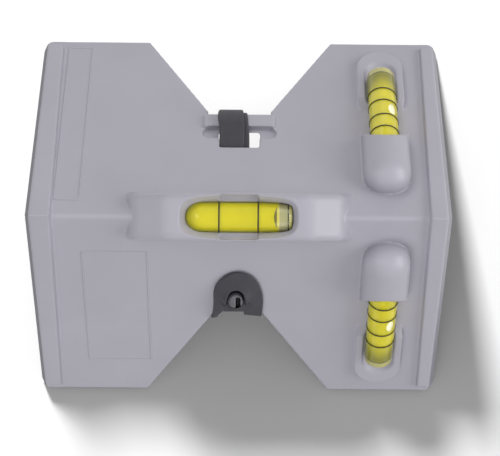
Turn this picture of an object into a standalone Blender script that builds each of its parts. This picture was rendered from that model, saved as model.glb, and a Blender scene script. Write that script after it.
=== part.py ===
# Post level: a right-angled plastic level that hugs the corner of a post.
# Frame: +X runs along the ridge, +Z up, the two outer leg edges stand on z = 0.
# Sections are drawn in each leg's own frame: x along the ridge, s down the leg, n out of it.

from math import cos, pi, radians, sin, sqrt

import bmesh
import bpy
from mathutils import Vector

MM = 0.001
SLOPE = sqrt(0.5)  # sine and cosine of the 45 degree legs
OVERRUN = 2.0 * MM  # how far a cutter runs past what it cuts
CLEARANCE = 0.3 * MM  # gap between pieces that touch
NEAR = 0.01 * MM  # points closer than this are one place

# Angle body
BODY_LENGTH = 141.6 * MM  # over the flared end faces
LEG_LENGTH = 88.4 * MM
WALL = 3.0 * MM
END_FLARE = 1.8 * MM  # the end faces spread towards the post
CORNER_ROUND = 2.6 * MM
CORNER_STEPS = 4
RIDGE_ROUND = 1.6 * MM
CORNER_RELIEF = 1.2 * MM  # flat inside the corner that clears a sharp post

# End ribs
RIB_RISE = 2.0 * MM
RIB_WIDTH = 6.0 * MM
RIB_TAPER = 1.4 * MM  # how much narrower the rib is at the leg's edge
RIB_FOOT = 0.5 * MM  # how far the rib's inner side spreads at its foot
RIB_LEFT = 0.1 * MM  # what is left of the rib beyond its end
RIB_SET_BACK = 2.5 * MM  # bare margin between the rib's end and the leg's edge

# Hourglass notches
NOTCH_FLOOR = 49.4 * MM  # from the ridge, measured down the leg
NOTCH_FLOOR_HALF = 9.6 * MM
NOTCH_MOUTH_HALF = 32.5 * MM
LOWER_FLOOR = 46.8 * MM  # the lower notch goes deeper and its floor is arched
LOWER_FLOOR_HALF = 8.1 * MM
NOTCH_ARCH_RISE = 0.9 * MM
NOTCH_ARCH_STEPS = 8

# Vials: blind acrylic tubes with a plug, coloured fluid, a bubble and index rings
VIAL_RADIUS = 4.9 * MM
VIAL_WALL = 0.8 * MM
VIAL_CORNER = 1.4 * MM
PLUG_LENGTH = 1.5 * MM
LEVEL_VIAL_LENGTH = 35.0 * MM
PLUMB_VIAL_LENGTH = 42.6 * MM
RING_WIDTH = 0.6 * MM
RING_THICKNESS = 0.15 * MM
RING_GAP = 0.12 * MM
LEVEL_RING_OFFSET = 6.4 * MM
PLUMB_RING_OFFSETS = (3.6 * MM, 9.6 * MM)
LEVEL_BUBBLE_LENGTH = 4.4 * MM
MENISCUS_DEPTH = 1.0 * MM
PLUMB_BUBBLE_LENGTH = 7.2 * MM
PLUMB_BUBBLE_WIDTH = 3.4 * MM
PLUMB_BUBBLE_DEPTH = 5.0 * MM
LATHE_SEGMENTS = 24

# Ridge housing for the level vial
POCKET_FLOOR = 1.3 * MM
HOUSING_HALF_WIDTH = 8.0 * MM
HOUSING_FLAT_HALF = 23.4 * MM
HOUSING_RAMP_HALF = 35.0 * MM
HOUSING_FOOT_HALF = 39.6 * MM
HOUSING_EDGE_ROUND = 2.4 * MM
HOUSING_COVER = 0.2 * MM  # the rim stands this much over the vial
BOWL_HALF_LENGTH = 19.6 * MM
BOWL_HALF_WIDTH = 7.3 * MM
BOWL_DEPTH = 3.0 * MM
GAP_HALF_LENGTH = 6.4 * MM
GAP_HALF_WIDTH = 7.2 * MM
GAP_DEPTH = 4.0 * MM
BOWL_STEPS = 8

# Plumb vial hoods, one on each leg
HOOD_FROM_END = 21.3 * MM
HOOD_RADIUS = 8.1 * MM
HOOD_TOP_WALL = 1.8 * MM
HOOD_REACH = 26.5 * MM  # from the vial's centre back to the centre of the rounded end
HOOD_CUT_BACK = 3.84 * MM  # level distance from the vial's centre back to the straight cut
HOOD_DRAFT = radians(2.0)
HOOD_STEPS = 8
PLUMB_VIAL_FROM_EDGE = 42.8 * MM
COLLAR_RISE = 2.6 * MM
COLLAR_BEYOND_VIAL = 6.3 * MM
COLLAR_END_WALL = 3.3 * MM
COLLAR_AHEAD = 6.7 * MM  # from the vial's centre on to the collar's open ends
CRADLE_DEPTH = 1.4 * MM
COLLAR_RIM = 1.2 * MM
COLLAR_RAMP = 4.0 * MM  # length over which the collar's open ends rise
LANDING_DEPTH = 0.15 * MM  # the bare landing between hood and collar

# Strap bar and window in the upper leg
BAR_HALF_LENGTH = 12.6 * MM
BAR_WIDTH = 7.0 * MM
BAR_RISE = 1.4 * MM
BAR_ROUND = 1.3 * MM
TROUGH_WIDTH = 4.1 * MM
TROUGH_DEPTH = 0.7 * MM
WINDOW_HALF = 6.9 * MM
WINDOW_START = 23.6 * MM
WINDOW_END = 28.8 * MM
RELIEF_HALF = 11.0 * MM
UPPER_RELIEF_START = 31.5 * MM
UPPER_RELIEF_DEPTH = 1.6 * MM
LOWER_RELIEF_START = 43.6 * MM
LOWER_RELIEF_DEPTH = 1.2 * MM

# Split hook peg on the lower leg
PEG_X = -0.8 * MM
PEG_Y = -28.5 * MM
PEG_RADIUS = 2.7 * MM
PEG_TIP_SHARE = 0.8
PEG_TIP = 0.8 * MM
PEG_TOP = -20.9 * MM  # from the ridge line
PEG_SLIT = 1.5 * MM
PEG_BACK = 1.0 * MM
PEG_SLIT_DEPTH = 6.0 * MM
PEG_SEGMENTS = 20

# Label frames, thin raised lines with a bare field
FRAME_LINE = 0.5 * MM
FRAME_RISE = 0.3 * MM
LONG_LABEL = (-61.6 * MM, -52.7 * MM, 7.3 * MM, 85.1 * MM)
SHORT_LABEL = (-52.8 * MM, -30.4 * MM, 16.7 * MM, 72.5 * MM)

# Rubber strap, a flat closed band
STRAP_THICKNESS = 0.8 * MM
STRAP_SMOOTHING = 3  # stations added between two route points

APEX_Z = (LEG_LENGTH + WALL) * SLOPE
HOOD_X = BODY_LENGTH / 2 - HOOD_FROM_END
PLUMB_VIAL_CENTRE = LEG_LENGTH - PLUMB_VIAL_FROM_EDGE
HOOD_CUT = PLUMB_VIAL_CENTRE * SLOPE - HOOD_CUT_BACK
COLLAR_START = PLUMB_VIAL_CENTRE + COLLAR_AHEAD
BORE_RADIUS = VIAL_RADIUS - VIAL_WALL
FLUID_RADIUS = BORE_RADIUS - CLEARANCE
LEVEL_VIAL_Z = VIAL_RADIUS + CLEARANCE + POCKET_FLOOR - WALL / SLOPE - CORNER_RELIEF
PLUMB_VIAL_N = VIAL_RADIUS + CLEARANCE + POCKET_FLOOR - WALL
POCKET_RADIUS = VIAL_RADIUS + CLEARANCE

# Both edges of the strap, (x, y, z) in millimetres with z from the ridge line, in hand-chosen
# stations: the tucked fold, the outer layer over the bar, the left strand across the inside,
# the hood round the peg, the right strand back, and the inner layer over the bar.
STRAP_ROUTE = [
    ((-6.0, 28.27, -31.87), (2.6, 28.27, -31.87)),
    ((-6.6, 28.40, -32.90), (2.1, 28.40, -32.90)),
    ((-6.9, 29.80, -34.20), (1.8, 29.80, -34.20)),
    ((-6.9, 31.81, -36.19), (1.8, 31.81, -36.19)),
    ((-6.9, 34.00, -37.10), (1.8, 34.00, -37.10)),
    ((-6.9, 36.19, -36.19), (1.8, 36.19, -36.19)),
    ((-6.9, 37.10, -34.00), (1.8, 37.10, -34.00)),
    ((-6.9, 36.19, -31.81), (1.8, 36.19, -31.81)),
    ((-6.9, 33.16, -28.64), (1.8, 33.16, -28.64)),
    ((-6.9, 31.50, -27.70), (1.8, 31.50, -27.70)),
    ((-6.9, 27.50, -26.95), (1.8, 27.50, -26.95)),
    ((-6.9, 23.60, -26.35), (1.8, 23.60, -26.35)),
    ((-6.9, 20.00, -26.95), (1.8, 20.00, -26.95)),
    ((-7.2, 10.00, -28.70), (1.3, 10.00, -28.70)),
    ((-7.7, -2.00, -30.85), (0.3, -2.00, -30.80)),
    ((-8.3, -16.00, -33.50), (-1.6, -16.00, -33.00)),
    ((-8.6, -26.00, -35.80), (-3.4, -26.00, -34.70)),
    ((-8.80, -30.00, -36.30), (-4.80, -29.60, -35.30)),
    ((-9.00, -32.40, -36.30), (-6.00, -31.80, -35.60)),
    ((-9.15, -34.30, -35.40), (-6.80, -33.70, -34.90)),
    ((-9.20, -34.95, -33.90), (-7.00, -34.40, -33.40)),
    ((-8.90, -33.90, -32.20), (-6.70, -33.40, -31.40)),
    ((-8.40, -31.20, -29.60), (-4.60, -31.60, -26.90)),
    ((-8.30, -28.00, -26.70), (-4.10, -28.90, -22.40)),
    ((-8.10, -24.10, -22.90), (-3.30, -26.60, -21.60)),
    ((-4.40, -20.10, -18.90), (-2.20, -25.50, -21.50)),
    ((0.00, -18.70, -17.50), (-0.70, -25.10, -21.40)),
    ((4.40, -20.10, -18.90), (0.80, -25.50, -21.50)),
    ((7.00, -23.30, -22.10), (1.90, -26.60, -21.60)),
    ((8.30, -27.30, -26.10), (2.50, -28.90, -22.40)),
    ((8.50, -30.00, -28.80), (2.50, -31.00, -26.60)),
    ((8.35, -32.95, -31.30), (2.20, -32.60, -30.60)),
    ((8.20, -34.10, -33.00), (2.00, -33.50, -32.50)),
    ((8.20, -33.90, -34.90), (2.00, -33.30, -34.20)),
    ((8.30, -32.30, -36.10), (2.00, -31.80, -35.20)),
    ((8.40, -30.20, -36.60), (1.90, -29.60, -35.40)),
    ((8.5, -26.00, -38.20), (1.30, -26.00, -34.20)),
    ((4.9, -21.00, -39.30), (3.50, -21.00, -31.10)),
    ((0.6, -16.00, -37.40), (6.60, -16.00, -31.40)),
    ((-1.2, -10.00, -34.00), (7.20, -10.00, -32.80)),
    ((-2.2, -2.00, -32.00), (6.20, -2.00, -31.95)),
    ((-3.9, 10.00, -29.80), (4.60, 10.00, -29.80)),
    ((-5.0, 20.00, -28.05), (3.60, 20.00, -28.05)),
    ((-5.2, 23.60, -27.45), (3.50, 23.60, -27.45)),
    ((-5.2, 27.50, -28.05), (3.50, 27.50, -28.05)),
    ((-5.2, 31.10, -28.80), (3.50, 31.10, -28.80)),
    ((-5.2, 32.38, -29.42), (3.50, 32.38, -29.42)),
    ((-5.2, 35.41, -32.59), (3.50, 35.41, -32.59)),
    ((-5.2, 36.00, -34.00), (3.50, 36.00, -34.00)),
    ((-5.2, 35.41, -35.41), (3.50, 35.41, -35.41)),
    ((-5.2, 34.00, -36.00), (3.50, 34.00, -36.00)),
    ((-5.2, 32.59, -35.41), (3.50, 32.59, -35.41)),
    ((-5.2, 30.60, -33.40), (3.50, 30.60, -33.40)),
    ((-5.4, 29.20, -32.00), (3.20, 29.20, -32.00)),
]


def hexColour(code):
    channels = [int(code[i:i + 2], 16) / 255 for i in (1, 3, 5)]
    linear = [c / 12.92 if c <= 0.04045 else ((c + 0.055) / 1.055) ** 2.4 for c in channels]
    return (*linear, 1.0)


def makeMaterial(name, colour, roughness, transmission=0.0):
    material = bpy.data.materials.new(name)
    material.use_nodes = True
    shader = material.node_tree.nodes["Principled BSDF"]
    shader.inputs["Base Color"].default_value = hexColour(colour)
    shader.inputs["Roughness"].default_value = roughness
    shader.inputs["Transmission Weight"].default_value = transmission
    material.diffuse_color = hexColour(colour)
    return material


def legPoint(side, x, s, n):
    """A point of a leg's own frame in the world: side is 1 for the upper leg, -1 for the lower."""
    return Vector((x, side * (s + n) * SLOPE, APEX_Z + (n - s) * SLOPE))


def addMesh(name, bm, material=None, smooth=35.0):
    bmesh.ops.recalc_face_normals(bm, faces=bm.faces)
    mesh = bpy.data.meshes.new(name)
    bm.to_mesh(mesh)
    bm.free()
    if material:
        mesh.materials.append(material)
    obj = bpy.data.objects.new(name, mesh)
    bpy.context.scene.collection.objects.link(obj)
    mesh.shade_smooth()
    mesh.set_sharp_from_angle(angle=radians(smooth))
    return obj


def skinRings(bm, rings, loop=False):
    """Skin a row of equal rings; a single-point ring closes to a pole, open rings get caps."""
    rows = [[bm.verts.new(p) for p in ring] for ring in rings]
    pairs = list(zip(rows, rows[1:] + rows[:1])) if loop else list(zip(rows, rows[1:]))
    for a, b in pairs:
        count = max(len(a), len(b))
        for i in range(count):
            j = (i + 1) % count
            corners = [a[i % len(a)], a[j % len(a)], b[j % len(b)], b[i % len(b)]]
            bm.faces.new(dict.fromkeys(corners))
    if not loop:
        for row in (rows[0], rows[-1]):
            if len(row) > 2:
                bm.faces.new(row)
    return rows


def cut(target, tools, operation="DIFFERENCE"):
    """Apply Booleans for good, then drop the tools."""
    for tool in tools:
        modifier = target.modifiers.new(operation.lower(), "BOOLEAN")
        modifier.operation = operation
        modifier.object = tool
        modifier.solver = "EXACT"
    graph = bpy.context.evaluated_depsgraph_get()
    mesh = bpy.data.meshes.new_from_object(target.evaluated_get(graph))
    target.modifiers.clear()
    target.data = mesh
    for tool in tools:
        bpy.data.objects.remove(tool)
    return target


def legPrism(name, side, outline, low, high):
    """A prism on a leg: its (x, s) outline stands from height n = low to n = high."""
    bm = bmesh.new()
    skinRings(bm, [[legPoint(side, x, s, n) for x, s in outline] for n in (low, high)])
    return addMesh(name, bm)


def xPrism(name, outline, half):
    """A prism along the ridge with a (y, z) outline, z from the ridge line."""
    bm = bmesh.new()
    skinRings(bm, [[(x, y, APEX_Z + z) for y, z in outline] for x in (-half, half)])
    return addMesh(name, bm)


def stadium(cx, half_x, start, end, steps):
    """An outline with straight sides and half-oval ends, along s."""
    end_depth = min(half_x, (end - start) / 2)
    points = []
    for i in range(steps + 1):
        a = pi * i / steps
        points.append((cx + half_x * cos(a), end - end_depth + end_depth * sin(a)))
    for i in range(steps + 1):
        a = pi * i / steps
        points.append((cx - half_x * cos(a), start + end_depth - end_depth * sin(a)))
    return points


def endFace(n):
    """How far along x the flared end face stands at height n."""
    return BODY_LENGTH / 2 - (n + WALL) * END_FLARE / (WALL + RIB_RISE)


def cornerCutters():
    """Rounds the four outer corners of the legs."""
    cutters = []
    middle_s = LEG_LENGTH - CORNER_ROUND
    for side in (1, -1):
        for end in (1, -1):
            rings = []
            for n in (-WALL - OVERRUN, RIB_RISE + OVERRUN):
                middle_x = endFace(n) - CORNER_ROUND + NEAR
                points = arc(middle_x, CORNER_ROUND, 0.0, pi / 2, CORNER_STEPS)
                outline = [(x, middle_s + NEAR + r) for x, r in points]
                outline += [(middle_x, LEG_LENGTH + OVERRUN),
                            (endFace(n) + OVERRUN, LEG_LENGTH + OVERRUN),
                            (endFace(n) + OVERRUN, middle_s + NEAR)]
                rings.append([legPoint(side, end * x, s, n) for x, s in outline])
            bm = bmesh.new()
            skinRings(bm, rings)
            cutters.append(addMesh("corner", bm))
    return cutters


def angleShell():
    """The V shell with its end ribs, skinned over stations along one leg and down the other."""
    edge = endFace

    def section(rib, taper):
        inner = edge(RIB_RISE) - RIB_WIDTH + taper
        return [(-edge(-WALL), -WALL), (-edge(0), 0), (-edge(rib), rib), (-inner, rib),
                (-inner + RIB_FOOT, 0), (inner - RIB_FOOT, 0), (inner, rib),
                (edge(rib), rib), (edge(0), 0), (edge(-WALL), -WALL)]

    def station(side, s, rib, taper):
        return [legPoint(side, x, s, n) for x, n in section(rib, taper)]

    rib_foot = LEG_LENGTH - RIB_SET_BACK
    rib_end = rib_foot - RIB_RISE + RIB_LEFT
    apex = [(x, 0.0, APEX_Z + n / SLOPE) for x, n in section(RIB_RISE, 0.0)]
    rings = [station(1, LEG_LENGTH, RIB_LEFT, RIB_TAPER), station(1, rib_foot, RIB_LEFT, RIB_TAPER),
             station(1, rib_end, RIB_RISE, RIB_TAPER), apex, station(-1, rib_end, RIB_RISE, RIB_TAPER),
             station(-1, rib_foot, RIB_LEFT, RIB_TAPER), station(-1, LEG_LENGTH, RIB_LEFT, RIB_TAPER)]
    bm = bmesh.new()
    skinRings(bm, rings)
    ridge = [e for e in bm.edges if all(abs(v.co.y) < NEAR for v in e.verts)
             and all(abs(v.co.z - APEX_Z) < NEAR for v in e.verts)]
    bmesh.ops.bevel(bm, geom=ridge, offset=RIDGE_ROUND, segments=3, profile=0.5, affect="EDGES")
    return addMesh("body", bm, materials["shell"])


def notchCutters():
    cutters = []
    beyond = LEG_LENGTH + OVERRUN
    lower = []
    for i in range(NOTCH_ARCH_STEPS + 1):
        share = 1 - 2 * i / NOTCH_ARCH_STEPS
        lower.append((LOWER_FLOOR_HALF * share, LOWER_FLOOR - NOTCH_ARCH_RISE * (1 - share ** 2)))
    upper = [(NOTCH_FLOOR_HALF, NOTCH_FLOOR), (-NOTCH_FLOOR_HALF, NOTCH_FLOOR)]
    for side, floor in ((1, upper), (-1, lower)):
        half, start = floor[0]
        spread = (NOTCH_MOUTH_HALF - half) / (LEG_LENGTH - start)
        mouth = half + spread * (beyond - start)
        outline = [(mouth, beyond)] + floor + [(-mouth, beyond)]
        cutters.append(legPrism("notch", side, outline, -WALL - OVERRUN, BAR_RISE + OVERRUN))
    near = NOTCH_FLOOR - BAR_ROUND
    far = NOTCH_FLOOR + OVERRUN
    cutters.append(legPrism("seat", 1, [(-RELIEF_HALF, near), (RELIEF_HALF, near),
                                        (RELIEF_HALF, far), (-RELIEF_HALF, far)],
                            -WALL - OVERRUN, OVERRUN))
    return cutters


def ridgeHousing():
    """A ramped block over the ridge; its underside follows the V inside the wall."""
    top = LEVEL_VIAL_Z + VIAL_RADIUS + HOUSING_COVER
    low = -HOUSING_HALF_WIDTH - OVERRUN
    profile = [(-HOUSING_FOOT_HALF, low), (-HOUSING_RAMP_HALF, 0.0), (-HOUSING_FLAT_HALF, top),
               (HOUSING_FLAT_HALF, top), (HOUSING_RAMP_HALF, 0.0), (HOUSING_FOOT_HALF, low)]
    bm = bmesh.new()
    skinRings(bm, [[(x, y, APEX_Z + z) for x, z in profile]
                   for y in (-HOUSING_HALF_WIDTH, HOUSING_HALF_WIDTH)])
    upper = [e for e in bm.edges if min(v.co.z for v in e.verts) > APEX_Z - MM
             or max(v.co.z for v in e.verts) > APEX_Z - MM > min(v.co.z for v in e.verts)]
    bmesh.ops.bevel(bm, geom=upper, offset=HOUSING_EDGE_ROUND, segments=3, profile=0.5,
                    affect="EDGES")
    block = addMesh("housing", bm)
    reach = HOUSING_HALF_WIDTH + OVERRUN
    inside = -WALL / 2 / SLOPE
    wedge = xPrism("wedge", [(0.0, inside), (-reach, inside - reach), (-reach, low - reach),
                             (reach, low - reach), (reach, inside - reach)],
                   HOUSING_FOOT_HALF + OVERRUN)
    return cut(block, [wedge])


def levelPocket():
    """The level vial's bore, its dished window and the lower ledge between the two cradles."""
    top = LEVEL_VIAL_Z + VIAL_RADIUS + HOUSING_COVER + OVERRUN
    half = LEVEL_VIAL_LENGTH / 2 + CLEARANCE
    bore = lathe("bore", boreProfile(half), levelPoint)
    rim = top - OVERRUN
    rings = []
    for z, shrink in ((top, 0.0), (rim - BOWL_DEPTH, BOWL_HALF_WIDTH - POCKET_RADIUS)):
        outline = stadium(0.0, BOWL_HALF_WIDTH - shrink, shrink - BOWL_HALF_LENGTH,
                          BOWL_HALF_LENGTH - shrink, BOWL_STEPS)
        rings.append([(s, x, APEX_Z + z) for x, s in outline])
    bm = bmesh.new()
    skinRings(bm, rings)
    bowl = addMesh("bowl", bm)
    gap = xPrism("gap", [(-GAP_HALF_WIDTH, top), (GAP_HALF_WIDTH, top),
                         (GAP_HALF_WIDTH, rim - GAP_DEPTH), (-GAP_HALF_WIDTH, rim - GAP_DEPTH)],
                 GAP_HALF_LENGTH)
    return [bore, bowl, gap]


def lathe(name, profile, place, material=None, segments=LATHE_SEGMENTS, loop=False):
    """Turn a profile of (along, radius) pairs; place puts (along, across, up) in the world."""
    bm = bmesh.new()
    rings = []
    for along, radius in profile:
        if radius == 0.0:
            rings.append([place(along, 0.0, 0.0)])
        else:
            rings.append([place(along, radius * cos(2 * pi * i / segments),
                                radius * sin(2 * pi * i / segments)) for i in range(segments)])
    skinRings(bm, rings, loop)
    return addMesh(name, bm, material)


def boreProfile(half):
    """A vial's pocket, round at the closed end like the vial."""
    closed = arc(POCKET_RADIUS - half, POCKET_RADIUS, pi, pi / 2, 5)
    return closePoles(closed) + [(half, POCKET_RADIUS), (half, 0.0)]


def levelPoint(along, across, up):
    """The level vial's frame: along the ridge, its plug to the right."""
    return (along, across, APEX_Z + LEVEL_VIAL_Z + up)


def plumbPoint(side):
    """A plumb vial's frame on a leg: along runs down the leg, across lies along the ridge."""
    def place(along, across, up):
        return legPoint(side, HOOD_X + across, PLUMB_VIAL_CENTRE + along, PLUMB_VIAL_N + up)
    return place


def arc(cx, radius, start, end, steps):
    """Profile points on a circle about the lathe's axis point cx, angles from the axis."""
    return [(cx + radius * cos(start + (end - start) * i / steps),
             abs(radius * sin(start + (end - start) * i / steps))) for i in range(steps + 1)]


def closePoles(points):
    """Put profile ends that lie on the axis exactly on it."""
    return [(a, 0.0 if r < NEAR else r) for a, r in points]


def plumbHood(side):
    """The capsule over a plumb vial, cut down to a low collar beyond the straight cut."""
    end = PLUMB_VIAL_LENGTH / 2 + COLLAR_BEYOND_VIAL
    start = -HOOD_REACH
    top_share = (POCKET_RADIUS + HOOD_TOP_WALL) / HOOD_RADIUS
    base = plumbPoint(side)

    def place(along, across, up):
        return base(along, across, up * top_share if up > 0 else up)

    nose = arc(start, HOOD_RADIUS, pi, pi / 2, HOOD_STEPS // 2)
    tail = arc(end, HOOD_RADIUS, pi / 2, 0.0, HOOD_STEPS // 2)
    hood = lathe("hood", closePoles(nose + tail), place)
    reach = LEG_LENGTH
    rim_z = COLLAR_RISE / SLOPE - HOOD_CUT
    tall = 2 * HOOD_RADIUS / SLOPE
    lean = tall * sin(HOOD_DRAFT)
    over = [(side * HOOD_CUT, rim_z), (side * (HOOD_CUT - lean), rim_z + tall),
            (side * reach, rim_z + tall), (side * reach, COLLAR_RISE / SLOPE - reach)]
    under = legPrism("under", side, [(HOOD_X - reach, -OVERRUN), (HOOD_X + reach, -OVERRUN),
                                     (HOOD_X + reach, LEG_LENGTH), (HOOD_X - reach, LEG_LENGTH)],
                     -WALL / 2, -WALL / 2 - 2 * HOOD_RADIUS)
    across = xPrism("over", over, HOOD_X + 2 * HOOD_RADIUS)
    return cut(hood, [across, under])


def plumbPocket(side):
    """The plumb vial's bore, its dished cradle and the bare landing between collar and hood."""
    half = PLUMB_VIAL_LENGTH / 2 + CLEARANCE
    bore = lathe("bore", boreProfile(half), plumbPoint(side))
    wide = HOOD_RADIUS - COLLAR_RIM
    beyond = COLLAR_BEYOND_VIAL + HOOD_RADIUS - COLLAR_END_WALL
    end = PLUMB_VIAL_CENTRE + PLUMB_VIAL_LENGTH / 2 + beyond
    rings = []
    for n, shrink in ((COLLAR_RISE + OVERRUN, 0.0), (COLLAR_RISE - CRADLE_DEPTH,
                                                   wide - VIAL_RADIUS)):
        outline = stadium(HOOD_X, wide - shrink, COLLAR_START - wide, end - 2 * shrink, BOWL_STEPS)
        rings.append([legPoint(side, x, s, n) for x, s in outline])
    bm = bmesh.new()
    skinRings(bm, rings)
    bowl = addMesh("bowl", bm)
    reach = HOOD_RADIUS + CLEARANCE
    near = HOOD_CUT / SLOPE - PLUMB_VIAL_N - HOOD_RADIUS
    ramp = COLLAR_RAMP / COLLAR_RISE
    rings = []
    for n in (-LANDING_DEPTH, COLLAR_RISE + OVERRUN):
        far = COLLAR_START + n * ramp
        rings.append([legPoint(side, x, s, n) for x, s in ((HOOD_X - reach, near),
                                                          (HOOD_X + reach, near),
                                                          (HOOD_X + reach, far),
                                                          (HOOD_X - reach, far))])
    bm = bmesh.new()
    skinRings(bm, rings)
    landing = addMesh("landing", bm)
    plane = side * (HOOD_CUT + CLEARANCE)
    keep = xPrism("keep", [(plane, WALL), (plane, -LEG_LENGTH), (side * LEG_LENGTH, -LEG_LENGTH),
                           (side * LEG_LENGTH, WALL)], HOOD_X + 2 * HOOD_RADIUS)
    both = cut(bowl, [landing], "UNION")
    return [bore, cut(both, [keep], "INTERSECT")]


def strapBar():
    """The rounded bar at the upper notch that the strap wraps."""
    low_s = NOTCH_FLOOR - BAR_WIDTH
    bm = bmesh.new()
    outline = [(BAR_HALF_LENGTH, low_s), (BAR_HALF_LENGTH, NOTCH_FLOOR),
               (-BAR_HALF_LENGTH, NOTCH_FLOOR), (-BAR_HALF_LENGTH, low_s)]
    low = UPPER_RELIEF_DEPTH - WALL
    skinRings(bm, [[legPoint(1, x, s, n) for x, s in outline] for n in (low, BAR_RISE)])
    bmesh.ops.bevel(bm, geom=list(bm.edges), offset=BAR_ROUND, segments=3, profile=0.5,
                    affect="EDGES")
    return addMesh("bar", bm)


def strapCuts():
    """Trough and window beside the bar, and the shallow reliefs inside the V for the strap."""
    low_s = NOTCH_FLOOR - BAR_WIDTH
    trough = legPrism("trough", 1, stadium(0.0, BAR_HALF_LENGTH, low_s - TROUGH_WIDTH,
                                           low_s + BAR_ROUND, 3), -TROUGH_DEPTH, BAR_RISE)
    zTop = -WINDOW_START + OVERRUN
    zLow = -WINDOW_END - WALL / SLOPE - OVERRUN
    window = xPrism("window", [(WINDOW_START, zTop), (WINDOW_END, zTop), (WINDOW_END, zLow),
                               (WINDOW_START, zLow)], WINDOW_HALF)
    upper = legPrism("relief", 1, [(-RELIEF_HALF, UPPER_RELIEF_START), (RELIEF_HALF, UPPER_RELIEF_START),
                                   (RELIEF_HALF, NOTCH_FLOOR + OVERRUN),
                                   (-RELIEF_HALF, NOTCH_FLOOR + OVERRUN)],
                     -WALL - OVERRUN, UPPER_RELIEF_DEPTH - WALL)
    lower = legPrism("relief", -1, [(-RELIEF_HALF, LOWER_RELIEF_START), (RELIEF_HALF, LOWER_RELIEF_START),
                                    (RELIEF_HALF, NOTCH_FLOOR + OVERRUN),
                                    (-RELIEF_HALF, NOTCH_FLOOR + OVERRUN)],
                     -WALL - OVERRUN, LOWER_RELIEF_DEPTH - WALL)
    return [trough, window, upper, lower]


def hookPeg():
    """A round peg standing straight up from the lower leg, slit at the front."""
    foot = PEG_Y - PEG_RADIUS - WALL / 2
    bm = bmesh.new()
    rings = [[(PEG_X + PEG_RADIUS * share * cos(2 * pi * i / PEG_SEGMENTS),
               PEG_Y + PEG_RADIUS * share * sin(2 * pi * i / PEG_SEGMENTS), APEX_Z + z)
              for i in range(PEG_SEGMENTS)]
             for z, share in ((foot - PEG_RADIUS, 1.0), (PEG_TOP - PEG_TIP, 1.0),
                              (PEG_TOP, PEG_TIP_SHARE))]
    skinRings(bm, rings)
    peg = addMesh("peg", bm)
    half = PEG_SLIT / 2
    slit_low = PEG_TOP - PEG_SLIT_DEPTH
    slitMesh = bmesh.new()
    corners = [(-half, -PEG_RADIUS - OVERRUN), (half, -PEG_RADIUS - OVERRUN),
               (half, PEG_BACK), (-half, PEG_BACK)]
    skinRings(slitMesh, [[(PEG_X + x, PEG_Y + y, APEX_Z + z) for x, y in corners]
                         for z in (slit_low, PEG_TOP + OVERRUN)])
    slit = addMesh("slit", slitMesh)
    wide = PEG_RADIUS + OVERRUN
    inside = WALL / 2 / SLOPE
    wedge = xPrism("wedge", [(PEG_Y + wide, PEG_Y + wide - inside), (PEG_Y + wide, foot - 3 * wide),
                             (PEG_Y - wide, foot - 3 * wide), (PEG_Y - wide, PEG_Y - wide - inside)],
                   wide + abs(PEG_X))
    return cut(peg, [slit, wedge])


def labelFrame(side, label):
    left, right, start, end = label
    ring = legPrism("frame", side, [(left, start), (right, start), (right, end), (left, end)],
                    -WALL / 3, FRAME_RISE)
    line = FRAME_LINE
    field = legPrism("field", side, [(left + line, start + line), (right - line, start + line),
                                     (right - line, end - line), (left + line, end - line)],
                     -WALL, FRAME_RISE + OVERRUN)
    return cut(ring, [field])


def makeBody():
    body = angleShell()
    cut(body, notchCutters() + cornerCutters())
    additions = [ridgeHousing(), strapBar(), hookPeg(), labelFrame(1, LONG_LABEL),
                 labelFrame(-1, SHORT_LABEL), cornerFill()]
    additions += [plumbHood(side) for side in (1, -1)]
    cut(body, additions, "UNION")
    cut(body, levelPocket() + plumbPocket(1) + plumbPocket(-1) + strapCuts())
    return body


def cornerFill():
    """Fills the inner corner of the V up to its flat relief."""
    top = -WALL / 2 / SLOPE
    low = -WALL / SLOPE - CORNER_RELIEF
    half = BODY_LENGTH / 2 - END_FLARE
    return xPrism("fill", [(0.0, top), (-CORNER_RELIEF, low), (CORNER_RELIEF, low)], half)


def barrelProfile(length):
    """A blind tube: round closed end at the left, open rim at the right."""
    half = length / 2
    outer = arc(-half + VIAL_RADIUS, VIAL_RADIUS, pi, pi / 2, 5)
    rim = [(half - VIAL_CORNER + VIAL_CORNER * sin(a), VIAL_RADIUS - VIAL_CORNER
            + VIAL_CORNER * cos(a)) for a in (0.0, pi / 4)]
    mouth = [(half, BORE_RADIUS)]
    inner = arc(-half + VIAL_RADIUS, BORE_RADIUS, pi / 2, pi, 5)
    return closePoles(outer + rim + mouth + inner)


def makeVial(prefix, length, place, ring_offsets, bubble_profile, bubble_place, cavity):
    half = length / 2
    lathe(prefix + "_barrel", barrelProfile(length), place, materials["acrylic"])
    plug_start = half - PLUG_LENGTH
    lathe(prefix + "_plug", [(plug_start, 0.0), (plug_start, FLUID_RADIUS), (half, FLUID_RADIUS),
                             (half, 0.0)], place, materials["acrylic"])
    for i, offset in enumerate(ring_offsets):
        inner = VIAL_RADIUS + RING_GAP
        outer = inner + RING_THICKNESS
        lathe(f"{prefix}_ring_{i + 1}", [(offset - RING_WIDTH / 2, inner),
                                         (offset - RING_WIDTH / 2, outer),
                                         (offset + RING_WIDTH / 2, outer),
                                         (offset + RING_WIDTH / 2, inner)],
              place, materials["ink"], loop=True)
    left = arc(-half + VIAL_RADIUS, FLUID_RADIUS, pi, pi / 2, 5)
    fluid = lathe(prefix + "_fluid", closePoles(left + cavity["end"]), place, materials["fluid"])
    if cavity["cutter"]:
        cut(fluid, [cavity["cutter"]])
    lathe(prefix + "_bubble", closePoles(bubble_profile), bubble_place, materials["bubble"])


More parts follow.
